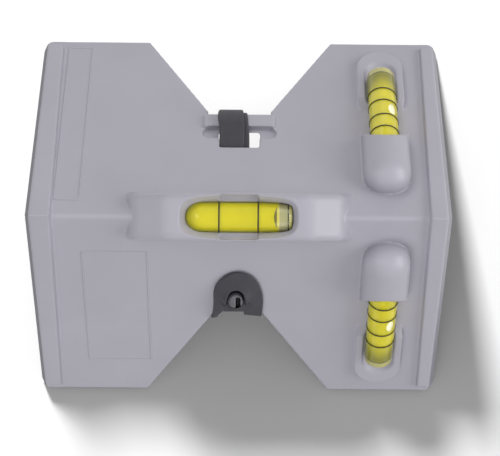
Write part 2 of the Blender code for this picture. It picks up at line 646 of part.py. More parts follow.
def levelVial():
    right = LEVEL_VIAL_LENGTH / 2 - PLUG_LENGTH - CLEARANCE
    left = right - LEVEL_BUBBLE_LENGTH
    steps = 3
    meniscus = [(left + MENISCUS_DEPTH * (i / steps) ** 2, FLUID_RADIUS * i / steps)
                for i in range(steps + 1)]
    face = [(a - CLEARANCE, r) for a, r in reversed(meniscus)]
    bubble = meniscus + [(right, FLUID_RADIUS), (right, 0.0)]
    makeVial("level_vial", LEVEL_VIAL_LENGTH, levelPoint, (-LEVEL_RING_OFFSET, LEVEL_RING_OFFSET),
             bubble, levelPoint, {"end": face, "cutter": None})


def plumbVial(prefix, side):
    place = plumbPoint(side)
    end = PLUMB_VIAL_LENGTH / 2 - PLUG_LENGTH - CLEARANCE
    inner, outer = PLUMB_RING_OFFSETS
    centre = FLUID_RADIUS - PLUMB_BUBBLE_WIDTH / 2
    width_share = PLUMB_BUBBLE_WIDTH / PLUMB_BUBBLE_LENGTH
    depth_share = PLUMB_BUBBLE_DEPTH / PLUMB_BUBBLE_LENGTH

    def bubblePlace(grow):
        def inside(along, across, up):
            return place(along, centre + across * width_share + (grow if across > 0 else 0.0),
                         up * depth_share)
        return inside

    profile = arc(0.0, PLUMB_BUBBLE_LENGTH / 2, pi, 0.0, 8)
    grown = arc(0.0, PLUMB_BUBBLE_LENGTH / 2 + 2 * CLEARANCE, pi, 0.0, 8)
    cutter = lathe("cavity", closePoles(grown), bubblePlace(OVERRUN), segments=16)
    makeVial(prefix, PLUMB_VIAL_LENGTH, place, (-outer, -inner, inner, outer), profile,
             bubblePlace(0.0), {"end": [(end, FLUID_RADIUS), (end, 0.0)], "cutter": cutter})


def smoothRoute():
    """Centripetal Catmull-Rom through the strap's stations, both edges at once."""
    stations = [[c * MM for c in a + b] for a, b in STRAP_ROUTE]
    count = len(stations)
    route = []
    for i in range(count):
        p = [stations[(i + k - 1) % count] for k in range(4)]
        t = [0.0]
        for a, b in zip(p, p[1:]):
            t.append(t[-1] + sqrt(sqrt(sum((u - v) ** 2 for u, v in zip(a, b)))))
        for k in range(STRAP_SMOOTHING):
            x = t[1] + (t[2] - t[1]) * k / STRAP_SMOOTHING
            level = p
            for width in (1, 2, 3):
                step = []
                for j in range(len(level) - 1):
                    lo, hi = (t[j], t[j + width]) if width != 2 else (t[j], t[j + 2])
                    f = (x - lo) / (hi - lo)
                    step.append([u + (v - u) * f for u, v in zip(level[j], level[j + 1])])
                level = step
            route.append((Vector(level[0][:3]), Vector(level[0][3:])))
    return route


def makeStrap():
    route = smoothRoute()
    count = len(route)
    middle = [(a + b) / 2 for a, b in route]
    half = STRAP_THICKNESS / 2
    rings = []
    for i, (a, b) in enumerate(route):
        along = middle[(i + 1) % count] - middle[i - 1]
        across = (b - a).normalized()
        out = along.cross(across).normalized()
        inset = across * half / 2
        lift = Vector((0.0, 0.0, APEX_Z))
        rings.append([a + lift + out * half / 2, a + lift + inset + out * half,
                      b + lift - inset + out * half, b + lift + out * half / 2,
                      b + lift - out * half / 2, b + lift - inset - out * half,
                      a + lift + inset - out * half, a + lift - out * half / 2])
    bm = bmesh.new()
    skinRings(bm, rings, loop=True)
    return addMesh("rubber_strap", bm, materials["rubber"])


for old in list(bpy.data.objects):
    bpy.data.objects.remove(old)

materials = {
    "shell": makeMaterial("moulded_abs", "#A8A6B1", 0.5),
    "rubber": makeMaterial("black_rubber", "#403F45", 0.7),
    "acrylic": makeMaterial("clear_acrylic", "#F4F6EE", 0.05, 0.9),
    "fluid": makeMaterial("vial_fluid", "#D8CD34", 0.1, 0.5),
    "bubble": makeMaterial("air_bubble", "#EDEBC4", 0.05, 0.9),
    "ink": makeMaterial("index_ink", "#14120C", 0.6),
}
makeBody()
makeStrap()
levelVial()
plumbVial("upper_plumb_vial", 1)
plumbVial("lower_plumb_vial", -1)
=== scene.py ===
from math import cos, pi, radians, sin, sqrt

import bmesh
import bpy
from mathutils import Euler, Matrix, Vector


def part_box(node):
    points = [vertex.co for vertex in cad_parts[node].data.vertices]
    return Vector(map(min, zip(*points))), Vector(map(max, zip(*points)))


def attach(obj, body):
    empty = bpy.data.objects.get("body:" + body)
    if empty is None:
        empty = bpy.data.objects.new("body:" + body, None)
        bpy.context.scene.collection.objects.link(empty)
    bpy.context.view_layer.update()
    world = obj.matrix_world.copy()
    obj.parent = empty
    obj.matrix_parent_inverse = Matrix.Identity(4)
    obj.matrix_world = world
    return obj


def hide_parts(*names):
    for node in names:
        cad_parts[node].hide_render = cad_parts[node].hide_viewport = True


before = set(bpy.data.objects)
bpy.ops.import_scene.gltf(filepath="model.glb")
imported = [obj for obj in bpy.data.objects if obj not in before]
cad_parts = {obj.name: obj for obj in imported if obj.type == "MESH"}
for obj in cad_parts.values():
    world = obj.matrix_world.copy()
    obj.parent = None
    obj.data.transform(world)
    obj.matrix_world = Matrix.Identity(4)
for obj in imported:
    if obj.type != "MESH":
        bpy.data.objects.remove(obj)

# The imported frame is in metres. Shapes here are drawn in millimetres and scaled once at the end.
mm = 0.001
slope = sqrt(0.5)  # sine and cosine of the 45 degree legs
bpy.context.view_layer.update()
bodyLow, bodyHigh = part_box("body")

# Angle body, sizes in mm, the outer ones read from the frame; notches are placed down the leg
angle = {
    "length": (bodyHigh[0] - bodyLow[0]) / mm,
    "leg": bodyHigh[1] / slope / mm,
    "wall": 3.0,
    "endFlare": 2.1,
    "cornerRound": 2.6,
    "cornerLap": 0.01,  # keeps the corner cuts off the body's own faces
    "cornerSteps": 12,
    "ridgeRound": 1.6,
    "ridgeSteps": 8,
    "cornerRelief": 1.2,  # in the inside corner
    "ribRise": 2.0,
    "ribWidths": (6.6, 5.4),  # left, right
    "ribTaper": 1.4,
    "ribFoot": 0.5,
    "ribLeft": 0.1,  # the rib's height at the leg's edge
    "ribSetBack": 2.5,
    "notchFloor": 49.4,
    "notchFloorHalf": 9.6,
    "notchMouthHalf": 32.5,
    "lowerFloor": 46.8,
    "lowerFloorHalf": 8.1,
    "archRise": 0.9,  # of the lower notch's floor
    "voxel": 0.34,  # one skin over all the body's parts, its easing passes and its triangles
    "smoothing": 4,
    "triangles": 180000,
}
apexZ = (angle["leg"] + angle["wall"]) * slope
ridgeLift = Vector((0.0, 0.0, apexZ))
overrun = 2.0  # how far cutters go past what they cut
clearance = 0.3


def setInputs(tree, node, inputs):  # a socket is linked, anything else is a plain value
    for key, value in inputs.items():
        if isinstance(value, bpy.types.NodeSocket):
            tree.links.new(value, node.inputs[key])
        else:
            node.inputs[key].default_value = value


def addNode(tree, kind, inputs=None, **settings):
    node = tree.nodes.new(kind)
    for key, value in settings.items():
        setattr(node, key, value)
    setInputs(tree, node, inputs or {})
    return node


def hexColour(code):  # sRGB hex to linear
    channels = [int(code[i:i + 2], 16) / 255 for i in (1, 3, 5)]
    linear = [c / 12.92 if c <= 0.04045 else ((c + 0.055) / 1.055) ** 2.4 for c in channels]
    return (*linear, 1.0)


def perMetre(sizeMm):  # noise scale for features of this size
    return 1.0 / (sizeMm * mm)


def newMaterial(name):
    material = bpy.data.materials.new(name)
    material.use_nodes = True
    tree = material.node_tree
    return material, tree, tree.nodes["Principled BSDF"]


# Injection-moulded ABS, cool light grey, fine spark-eroded texture: broad soft highlights
shellFinish = {"light": "#A9A7B1", "dark": "#A09EA8", "cloudMm": 18.0, "grainMm": 0.45,
               "grainHeight": 0.012, "grainStrength": 0.35, "roughness": 0.4,
               # the end face colour is painted shade on the flared end faces, darker at the left
               # end than at the right
               "roughnessSpread": 0.05, "specular": 0.5, "endFace": "#62606A",
               "endFrom": 68.8, "endTo": 69.2, "endSpecular": 0.08,
               "endShadeShares": (1.0, 0.55),  # left, right
               # the colour near the peg is painted shade, inside the strap's hood
               "pegShade": "#5E5C63", "pegShadeFrom": 0.4, "pegShadeTo": 0.1}  # mm outside the peg


def endShadeMask(tree, place):  # mask of the painted shade on the flared end faces, which also get less gloss
    along = addNode(tree, "ShaderNodeSeparateXYZ", {0: place}).outputs["X"]
    ends = [addNode(tree, "ShaderNodeMapRange",
                    {"Value": along, "From Min": side * shellFinish["endFrom"] * mm,
                     "From Max": side * shellFinish["endTo"] * mm, "To Max": share})
            for side, share in zip((-1, 1), shellFinish["endShadeShares"])]
    return addNode(tree, "ShaderNodeMath", {
        0: ends[0].outputs["Result"], 1: ends[1].outputs["Result"]}, operation="ADD").outputs[0]


def pegShadeMask(tree, place):  # mask of the painted shade on the peg, inside the strap's hood
    plan = addNode(tree, "ShaderNodeVectorMath", {
        0: place, 1: (1.0, 1.0, 0.0)}, operation="MULTIPLY")
    off = addNode(tree, "ShaderNodeVectorMath", {
        0: plan.outputs["Vector"], 1: (peg["x"] * mm, peg["y"] * mm, 0.0)}, operation="DISTANCE")
    return addNode(tree, "ShaderNodeMapRange", {
        "Value": off.outputs["Value"], "From Min": (peg["radius"] + shellFinish["pegShadeFrom"]) * mm,
        "From Max": (peg["radius"] + shellFinish["pegShadeTo"]) * mm}).outputs["Result"]


def makeMouldedAbs():
    material, tree, shader = newMaterial("moulded_abs")
    place = addNode(tree, "ShaderNodeTexCoord").outputs["Object"]
    cloud = addNode(tree, "ShaderNodeTexNoise", {
        "Vector": place, "Detail": 3.0, "Scale": perMetre(shellFinish["cloudMm"])})
    # real grain is about 0.1 mm; drawn coarser so that it shows
    grain = addNode(tree, "ShaderNodeTexNoise", {
        "Vector": place, "Detail": 2.0, "Scale": perMetre(shellFinish["grainMm"])})
    clean = addNode(tree, "ShaderNodeMix", {
        "Factor": cloud.outputs["Fac"], 6: hexColour(shellFinish["dark"]),
        7: hexColour(shellFinish["light"])}, data_type="RGBA")
    # painted shade darkens the flared end faces
    endShade = endShadeMask(tree, place)
    endShaded = addNode(tree, "ShaderNodeMix", {
        "Factor": endShade, 6: clean.outputs[2], 7: hexColour(shellFinish["endFace"])},
        data_type="RGBA")
    # painted shade on the peg
    colour = addNode(tree, "ShaderNodeMix", {
        "Factor": pegShadeMask(tree, place), 6: endShaded.outputs[2], 7: hexColour(shellFinish["pegShade"])},
        data_type="RGBA")
    gloss = addNode(tree, "ShaderNodeMapRange", {
        "Value": grain.outputs["Fac"],
        "To Min": shellFinish["roughness"] - shellFinish["roughnessSpread"],
        "To Max": shellFinish["roughness"] + shellFinish["roughnessSpread"]})
    bump = addNode(tree, "ShaderNodeBump", {
        "Height": grain.outputs["Fac"], "Strength": shellFinish["grainStrength"],
        "Distance": shellFinish["grainHeight"] * mm})
    shine = addNode(tree, "ShaderNodeMapRange", {
        "Value": endShade, "To Min": shellFinish["specular"], "To Max": shellFinish["endSpecular"]})
    setInputs(tree, shader, {
        "Base Color": colour.outputs[2], "Roughness": gloss.outputs["Result"],
        "Specular IOR Level": shine.outputs["Result"], "Normal": bump.outputs["Normal"]})
    return material


# Extruded rubber band, near black, dusty matt with faint drawn streaks
rubberFinish = {"dark": "#27262C", "light": "#3A393F", "streakMm": 1.4, "streakHeight": 0.05,
                "streakStrength": 0.4, "streakScale": (1.0, 0.25, 0.25),  # drawn out along y and z
                "roughness": 0.55}


def makeStrapRubber():
    material, tree, shader = newMaterial("strap_rubber")
    place = addNode(tree, "ShaderNodeTexCoord").outputs["Object"]
    drawn = addNode(tree, "ShaderNodeMapping", {
        "Vector": place, "Scale": rubberFinish["streakScale"]})
    streak = addNode(tree, "ShaderNodeTexNoise", {"Vector": drawn.outputs["Vector"], "Detail": 4.0,
                                                  "Scale": perMetre(rubberFinish["streakMm"])})
    colour = addNode(tree, "ShaderNodeMix", {
        "Factor": streak.outputs["Fac"], 6: hexColour(rubberFinish["dark"]),
        7: hexColour(rubberFinish["light"])}, data_type="RGBA")
    bump = addNode(tree, "ShaderNodeBump", {
        "Height": streak.outputs["Fac"], "Strength": rubberFinish["streakStrength"],
        "Distance": rubberFinish["streakHeight"] * mm})
    setInputs(tree, shader, {
        "Base Color": colour.outputs[2], "Roughness": rubberFinish["roughness"],
        "Normal": bump.outputs["Normal"]})
    return material


# Clear cast acrylic, polished: sharp highlights, lamps reach what is inside
acrylicFinish = {"colour": "#F8FAF2", "roughness": 0.02, "ior": 1.49}


def makeAcrylic():
    material, tree, shader = newMaterial("clear_acrylic")
    setInputs(tree, shader, {
        "Base Color": hexColour(acrylicFinish["colour"]), "Roughness": acrylicFinish["roughness"],
        "IOR": acrylicFinish["ior"], "Transmission Weight": 1.0})
    clear = addNode(tree, "ShaderNodeBsdfTransparent")
    path = addNode(tree, "ShaderNodeLightPath")
    mix = addNode(tree, "ShaderNodeMixShader", {
        0: path.outputs["Is Shadow Ray"], 1: shader.outputs["BSDF"], 2: clear.outputs["BSDF"]})
    setInputs(tree, tree.nodes["Material Output"], {"Surface": mix.outputs["Shader"]})
    return material


# Dyed vial spirit: fluorescent yellow-green, with a faint painted glow all over and painted shade
# towards the vials' ends
fluidFinish = {"bright": "#B4A90C", "deep": "#A0940A", "glow": "#A8B414", "glowStrength": 0.14,
               "cloudMm": 9.0, "roughness": 0.5, "shade": "#5F590E",
               "low": (31.5, 26.0),  # z over which the plumb vials' ends fall into shade
               "left": (-12.5, -17.5), "leftShare": 0.35}  # x, at the level vial's left end


def makeVialSpirit():
    material, tree, shader = newMaterial("vial_spirit")
    place = addNode(tree, "ShaderNodeTexCoord").outputs["Object"]
    cloud = addNode(tree, "ShaderNodeTexNoise", {
        "Vector": place, "Detail": 1.0, "Scale": perMetre(fluidFinish["cloudMm"])})
    colour = addNode(tree, "ShaderNodeMix", {
        "Factor": cloud.outputs["Fac"], 6: hexColour(fluidFinish["deep"]),
        7: hexColour(fluidFinish["bright"])}, data_type="RGBA")
    parts = addNode(tree, "ShaderNodeSeparateXYZ", {0: place}).outputs
    shares = []
    for axis, key, most in (("Z", "low", 1.0), ("X", "left", fluidFinish["leftShare"])):
        start, end = fluidFinish[key]
        shares.append(addNode(tree, "ShaderNodeMapRange", {
            "Value": parts[axis], "From Min": start * mm, "From Max": end * mm,
            "To Max": most}).outputs["Result"])
    deepest = addNode(tree, "ShaderNodeMath", {0: shares[0], 1: shares[1]}, operation="MAXIMUM")
    shaded = addNode(tree, "ShaderNodeMix", {
        "Factor": deepest.outputs[0], 6: colour.outputs[2], 7: hexColour(fluidFinish["shade"])},
        data_type="RGBA")
    # the emission is a painted glow, the same all over
    setInputs(tree, shader, {
        "Base Color": shaded.outputs[2], "Roughness": fluidFinish["roughness"],
        "Specular IOR Level": 0.0, "Emission Color": hexColour(fluidFinish["glow"]),
        "Emission Strength": fluidFinish["glowStrength"]})
    return material


# Air in the spirit: straw in the middle, with painted shade in dark olive where its skin turns
# away. The level vial's bubble also has painted shade, dark lines at its curved face and at the
# plug: its bands are shares of the way from start to end, in mm along the vial.
airFinish = {"rim": "#33351A", "roughness": 0.12, "ior": 1.36}
plumbAirFinish = {"middle": "#E6E2C4", "rimShadeSharpness": 1.2}
levelAirFinish = {"rimShadeSharpness": 2.2, "start": 11.7, "end": 16.45,
                  "bands": ((0.0, "#5C540C"), (0.15, "#5C540C"), (0.19, "#B5AA34"),
                            (0.3, "#B8AF58"), (0.37, "#8E8A62"), (0.88, "#85825E"),
                            (0.93, "#35371A"), (1.0, "#35371A"))}


def bandColours(tree, finish):
    place = addNode(tree, "ShaderNodeTexCoord").outputs["Object"]
    along = addNode(tree, "ShaderNodeSeparateXYZ", {0: place}).outputs["X"]
    share = addNode(tree, "ShaderNodeMapRange", {
        "Value": along, "From Min": finish["start"] * mm, "From Max": finish["end"] * mm})
    ramp = addNode(tree, "ShaderNodeValToRGB", {"Fac": share.outputs["Result"]})
    stops = ramp.color_ramp.elements
    while len(stops) < len(finish["bands"]):
        stops.new(0.5)
    for stop, (position, code) in zip(stops, finish["bands"]):
        stop.position = position
        stop.color = hexColour(code)
    return ramp.outputs["Color"]


def makeAir(name, finish):
    material, tree, shader = newMaterial(name)
    # painted shade: the rim colour where the skin turns away from view
    facing = addNode(tree, "ShaderNodeLayerWeight", {"Blend": 0.5}).outputs["Facing"]
    edge = addNode(tree, "ShaderNodeMath", {
        0: facing, 1: finish["rimShadeSharpness"]}, operation="POWER")
    middle = bandColours(tree, finish) if "bands" in finish else hexColour(finish["middle"])
    colour = addNode(tree, "ShaderNodeMix", {
        "Factor": edge.outputs[0], 6: middle, 7: hexColour(airFinish["rim"])}, data_type="RGBA")
    setInputs(tree, shader, {"Base Color": colour.outputs[2], "Roughness": airFinish["roughness"],
                             "IOR": airFinish["ior"]})
    return material


# Cast resin end plug: dull olive yellow, seen through the tube's end
plugFinish = {"colour": "#8F8A4E", "roughness": 0.3}

# Screen-printed index ink: dense black with an olive cast
inkFinish = {"colour": "#1C1B0C", "roughness": 0.55}


def makePlain(name, finish):
    material, tree, shader = newMaterial(name)
    setInputs(tree, shader, {
        "Base Color": hexColour(finish["colour"]), "Roughness": finish["roughness"]})
    return material


def legPoint(side, x, s, n):  # a leg's own frame: s down the leg, n out of it
    return Vector((x, side * (s + n) * slope, apexZ + (n - s) * slope))


def addObject(name, data):
    obj = bpy.data.objects.new(name, data)
    bpy.context.scene.collection.objects.link(obj)
    return obj


def addMesh(name, bm, material=None, sharp=None):
    bmesh.ops.recalc_face_normals(bm, faces=bm.faces)
    mesh = bpy.data.meshes.new(name)
    bm.to_mesh(mesh)
    bm.free()
    if material:
        mesh.materials.append(material)
    mesh.shade_smooth()
    if sharp:
        mesh.set_sharp_from_angle(angle=radians(sharp))
    return addObject(name, mesh)


def addPoints(name, points, edges):  # a start for Geometry Nodes: points, and lines to follow
    mesh = bpy.data.meshes.new(name)
    mesh.from_pydata(points, edges, [])
    return addObject(name, mesh)


def skinRings(bm, rings, loop=False):  # single-point rings close to a pole, open rows get caps
    rows = [[bm.verts.new(p) for p in ring] for ring in rings]
    pairs = list(zip(rows, rows[1:] + rows[:1])) if loop else list(zip(rows, rows[1:]))
    for a, b in pairs:
        count = max(len(a), len(b))
        for i in range(count):
            j = (i + 1) % count
            corners = [a[i % len(a)], a[j % len(a)], b[j % len(b)], b[i % len(b)]]
            bm.faces.new(dict.fromkeys(corners))
    if not loop:
        for row in (rows[0], rows[-1]):
            if len(row) > 2:
                bm.faces.new(row)


def addSkin(name, rings, material=None, sharp=None, loop=False):
    bm = bmesh.new()
    skinRings(bm, rings, loop)
    return addMesh(name, bm, material, sharp)


def roundEdges(bm, edges, radius, segments):
    bmesh.ops.bevel(bm, geom=edges, offset=radius, segments=segments, profile=0.5,
                    affect="EDGES")


def applied(obj):  # modifiers into the mesh
    graph = bpy.context.evaluated_depsgraph_get()
    mesh = bpy.data.meshes.new_from_object(obj.evaluated_get(graph))
    obj.modifiers.clear()
    obj.data = mesh


def cut(target, tools, operation="DIFFERENCE"):
    for tool in tools:
        modifier = target.modifiers.new(operation.lower(), "BOOLEAN")
        modifier.operation = operation
        modifier.object = tool
        modifier.solver = "EXACT"
    applied(target)
    for tool in tools:
        bpy.data.objects.remove(tool)
    return target


def toMetres(obj):
    obj.data.transform(Matrix.Scale(mm, 4))


def legPrism(name, side, outline, low, high):
    return addSkin(name, [[legPoint(side, x, s, n) for x, s in outline] for n in (low, high)])


def xPrism(name, outline, half):  # (y, z) outline, z from the ridge line
    return addSkin(name, [[(x, y, apexZ + z) for y, z in outline] for x in (-half, half)])


def rectangle(left, right, near, far):
    return [(left, near), (right, near), (right, far), (left, far)]


def stadium(cx, halfX, start, end, steps):  # a slot's outline, round at both ends
    depth = min(halfX, (end - start) / 2)
    points = []
    for turn, centre in ((0.0, end - depth), (pi, start + depth)):
        for i in range(steps + 1):
            a = turn + pi * i / steps
            points.append((cx + halfX * cos(a), centre + depth * sin(a)))
    return points


def ovalOutline(halfX, halfY, power, steps):  # an oval between an ellipse and a rectangle
    points = []
    for i in range(steps):
        a = 2 * pi * i / steps
        x, y = abs(cos(a)) ** (2 / power), abs(sin(a)) ** (2 / power)
        points.append((halfX * x * (1 if cos(a) >= 0 else -1),
                       halfY * y * (1 if sin(a) >= 0 else -1)))
    return points


def arc(cx, radius, start, end, steps):
    points = []
    for i in range(steps + 1):
        a = start + (end - start) * i / steps
        r = abs(radius * sin(a))
        points.append((cx + radius * cos(a), 0.0 if r < 1e-6 else r))
    return points


def lathe(name, profile, place, material=None, segments=96, sharp=None):
    rings = []
    for along, radius in profile:
        if radius == 0.0:
            rings.append([place(along, 0.0, 0.0)])
        else:
            rings.append([place(along, radius * cos(2 * pi * i / segments),
                                radius * sin(2 * pi * i / segments)) for i in range(segments)])
    return addSkin(name, rings, material, sharp)


def endFace(n):  # how far along x the flared end face stands at height n
    wall = angle["wall"]
    return angle["length"] / 2 - (n + wall) * angle["endFlare"] / (wall + angle["ribRise"])


def cornerCutters():
    cutters = []
    radius, lap = angle["cornerRound"], angle["cornerLap"]
    middleS = angle["leg"] - radius + lap
    for side in (1, -1):
        for end in (1, -1):
            rings = []
            for n in (-angle["wall"] - overrun, angle["ribRise"] + overrun):
                middleX = endFace(n) - radius + lap
                outline = [(x, middleS + r) for x, r in arc(middleX, radius, 0.0, pi / 2,
                                                                 angle["cornerSteps"])]
                outline += [(middleX, angle["leg"] + overrun),
                            (endFace(n) + overrun, angle["leg"] + overrun),
                            (endFace(n) + overrun, middleS)]
                rings.append([legPoint(side, end * x, s, n) for x, s in outline])
            cutters.append(addSkin("corner", rings))
    return cutters


def angleShell():
    wall, rise = angle["wall"], angle["ribRise"]

    def section(rib, taper):
        left, right = [endFace(rise) - width + taper for width in angle["ribWidths"]]
        return [(-endFace(-wall), -wall), (-endFace(0), 0), (-endFace(rib), rib), (-left, rib),
                (-left + angle["ribFoot"], 0), (right - angle["ribFoot"], 0), (right, rib),
                (endFace(rib), rib), (endFace(0), 0), (endFace(-wall), -wall)]

    def station(side, s, rib, taper):
        return [legPoint(side, x, s, n) for x, n in section(rib, taper)]

    left, taper = angle["ribLeft"], angle["ribTaper"]
    foot = angle["leg"] - angle["ribSetBack"]
    ribEnd = foot - rise + left
    apex = [(x, 0.0, apexZ + n / slope) for x, n in section(rise, 0.0)]
    down = [(angle["leg"], left), (foot, left), (ribEnd, rise)]
    rings = [station(1, s, rib, taper) for s, rib in down] + [apex]
    rings += [station(-1, s, rib, taper) for s, rib in reversed(down)]
    bm = bmesh.new()
    skinRings(bm, rings)
    near = 0.01
    ridge = [e for e in bm.edges if all(abs(v.co.y) < near and abs(v.co.z - apexZ) < near
                                        for v in e.verts)]
    roundEdges(bm, ridge, angle["ridgeRound"], angle["ridgeSteps"])
    return addMesh("angle_body", bm, mouldedAbs)


def notchCutters():
    cutters = []
    beyond = angle["leg"] + overrun
    floor, floorHalf = angle["notchFloor"], angle["notchFloorHalf"]
    lower, steps = [], 32
    for i in range(steps + 1):
        share = 1 - 2 * i / steps
        lower.append((angle["lowerFloorHalf"] * share,
                      angle["lowerFloor"] - angle["archRise"] * (1 - share ** 2)))
    for side, line in ((1, [(floorHalf, floor), (-floorHalf, floor)]), (-1, lower)):
        half, start = line[0]
        spread = (angle["notchMouthHalf"] - half) / (angle["leg"] - start)
        mouth = half + spread * (beyond - start)
        outline = [(mouth, beyond)] + line + [(-mouth, beyond)]
        cutters.append(legPrism("notch", side, outline, -angle["wall"] - overrun,
                                strapBar["rise"] + overrun))
    near, far, half = floor - strapBar["round"], floor + overrun, strapBar["reliefHalf"]
    cutters.append(legPrism("seat", 1, rectangle(-half, half, near, far),
                            -angle["wall"] - overrun, overrun))
    return cutters


# Ridge housing with the level vial's dished window; its edges are rounded from roundAbove up,
# as z from the ridge line
housing = {"halfWidth": 8.0, "flatHalf": 23.4, "rampHalf": 35.0, "footHalf": 39.6,
           "edgeRound": 2.8, "roundAbove": -1.0, "cover": 0.2, "bowlHalfLength": 19.5,
           "bowlHalfWidth": 7.6, "bowlDepth": 4.6, "bowlPower": 3.3, "gapHalf": 6.4,
           "gapHalfWidth": 7.4, "gapDepth": 4.0, "pocketFloor": 1.3, "pocketGap": 0.08,
           "edgeSteps": 12, "bowlSteps": 96, "pocketSteps": 16}
vial = {"radius": 4.9, "corner": 1.4, "levelLength": 35.0, "plumbLength": 42.6}
innerCorner = angle["wall"] / slope + angle["cornerRelief"]
levelZ = vial["radius"] + clearance + housing["pocketFloor"] - innerCorner
plumbN = vial["radius"] + clearance + housing["pocketFloor"] - angle["wall"]
pocketRadius = vial["radius"] + housing["pocketGap"]
housingTop = levelZ + vial["radius"] + housing["cover"]


def boreProfile(length):  # a vial's pocket, round at the closed end like the vial
    half = length / 2 + housing["pocketGap"]
    closed = arc(pocketRadius - half, pocketRadius, pi, pi / 2, housing["pocketSteps"])
    return closed + [(half, pocketRadius), (half, 0.0)]


def levelPoint(along, across, up):
    return (along, across, apexZ + levelZ + up)


def plumbPoint(side):
    def place(along, across, up):
        return legPoint(side, hood["x"] + across, hood["vialCentre"] + along, plumbN + up)
    return place


def ridgeHousing():
    wide = housing["halfWidth"]
    low = -wide - overrun
    profile = [(-housing["footHalf"], low), (-housing["rampHalf"], 0.0),
               (-housing["flatHalf"], housingTop), (housing["flatHalf"], housingTop),
               (housing["rampHalf"], 0.0), (housing["footHalf"], low)]
    bm = bmesh.new()
    skinRings(bm, [[(x, y, apexZ + z) for x, z in profile] for y in (-wide, wide)])
    upper = [e for e in bm.edges
             if max(v.co.z for v in e.verts) > apexZ + housing["roundAbove"]]
    roundEdges(bm, upper, housing["edgeRound"], housing["edgeSteps"])
    block = addMesh("housing", bm)
    reach = wide + overrun
    inside = -angle["wall"] / 2 / slope
    wedge = xPrism("wedge", [(0.0, inside), (-reach, inside - reach), (-reach, low - reach),
                             (reach, low - reach), (reach, inside - reach)],
                   housing["footHalf"] + overrun)
    return cut(block, [wedge])


def levelPocket():
    bore = lathe("bore", boreProfile(vial["levelLength"]), levelPoint)
    top = housingTop + overrun
    longer, wider = housing["bowlHalfLength"], housing["bowlHalfWidth"]
    narrow = wider - vial["radius"]
    slant = narrow * overrun / housing["bowlDepth"]  # the slope goes on above the rim
    rings = []
    for z, shrink in ((top, -slant), (housingTop - housing["bowlDepth"], narrow)):
        outline = ovalOutline(longer - shrink, wider - shrink, housing["bowlPower"],
                              housing["bowlSteps"])
        rings.append([(x, y, apexZ + z) for x, y in outline])
    bowl = addSkin("bowl", rings)
    wide, floor = housing["gapHalfWidth"], housingTop - housing["gapDepth"]
    gap = xPrism("gap", rectangle(-wide, wide, top, floor), housing["gapHalf"])
    return [bore, bowl, gap]


# Plumb vial hoods and collars, one on each leg
hood = {"x": 49.5, "radius": 8.1, "topWall": 1.8, "start": 19.1, "cut": 28.4, "draft": 2.0,
        "endPower": 2.4, "endWall": 3.3, "vialCentre": 45.6, "collarRise": 2.6, "beyondVial": 6.3,
        "collarStart": 52.3, "collarRamp": 4.0, "cradleDepth": 1.4, "rim": 1.2, "proud": 0.02,
        "landingBeyond": 1.0, "noseSteps": 16, "cradleSteps": 32}


def plumbHood(side):
    radius = hood["radius"]
    end = vial["plumbLength"] / 2 + hood["beyondVial"]
    start = hood["start"] - hood["vialCentre"]
    topShare = (pocketRadius + hood["topWall"]) / radius
    base = plumbPoint(side)

    def place(along, across, up):
        return base(along, across, up * topShare if up > 0 else up)

    nose, steps = [], hood["noseSteps"]
    for i in range(steps + 1):
        a = pi / 2 * i / steps
        nose.append((start - radius * cos(a) ** (2 / hood["endPower"]),
                     radius * sin(a) ** (2 / hood["endPower"])))
    profile = nose + arc(end, radius, pi / 2, 0.0, steps)
    capsule = lathe("hood", profile, place)
    reach = angle["leg"]
    rimZ = hood["collarRise"] / slope - hood["cut"]
    tall = 2 * radius / slope
    lean = tall * sin(radians(hood["draft"]))
    over = [(side * hood["cut"], rimZ), (side * (hood["cut"] - lean), rimZ + tall),
            (side * reach, rimZ + tall), (side * reach, hood["collarRise"] / slope - reach)]
    under = legPrism("under", side,
                     rectangle(hood["x"] - reach, hood["x"] + reach, -overrun, reach),
                     -angle["wall"] / 2, -angle["wall"] / 2 - 2 * radius)
    across = xPrism("over", over, hood["x"] + 2 * radius)
    return cut(capsule, [across, under])


def plumbPocket(side):
    bore = lathe("bore", boreProfile(vial["plumbLength"]), plumbPoint(side))
    wide = hood["radius"] - hood["rim"]
    end = (hood["vialCentre"] + vial["plumbLength"] / 2 + hood["beyondVial"] + hood["radius"]
           - hood["endWall"])
    rise = hood["collarRise"]
    rings = []
    for n, shrink in ((rise + overrun, 0.0), (rise - hood["cradleDepth"], wide - vial["radius"])):
        outline = stadium(hood["x"], wide - shrink, hood["collarStart"] - wide, end - 2 * shrink,
                          hood["cradleSteps"])
        rings.append([legPoint(side, x, s, n) for x, s in outline])
    bowl = addSkin("bowl", rings)
    reach = hood["radius"] + hood["landingBeyond"]
    near = hood["cut"] / slope - plumbN - hood["radius"]
    left, right = hood["x"] - reach, hood["x"] + reach
    rings = []
    for n in (hood["proud"], rise + overrun):
        far = hood["collarStart"] + n * hood["collarRamp"] / rise
        rings.append([legPoint(side, x, s, n) for x, s in rectangle(left, right, near, far)])
    landing = addSkin("landing", rings)
    cutY, wall, leg = side * (hood["cut"] + clearance), angle["wall"], angle["leg"]
    keep = xPrism("keep", rectangle(side * leg, cutY, wall, -leg),
                  hood["x"] + 2 * hood["radius"])
    return [bore, cut(cut(bowl, [landing], "UNION"), [keep], "INTERSECT")]


# Rounded bar at the upper notch, its trough and the window that the strap goes through
strapBar = {"halfLength": 12.6, "width": 7.0, "rise": 1.4, "round": 1.3, "troughWidth": 4.1,
            "troughDepth": 1.1, "troughSteps": 24, "roundSteps": 8, "windowHalf": 6.9,
            "windowStart": 23.6, "windowEnd": 28.8, "reliefHalf": 11.0,
            "reliefs": ((1, 31.5, 1.6), (-1, 43.6, 1.2))}  # side, start and depth inside each leg


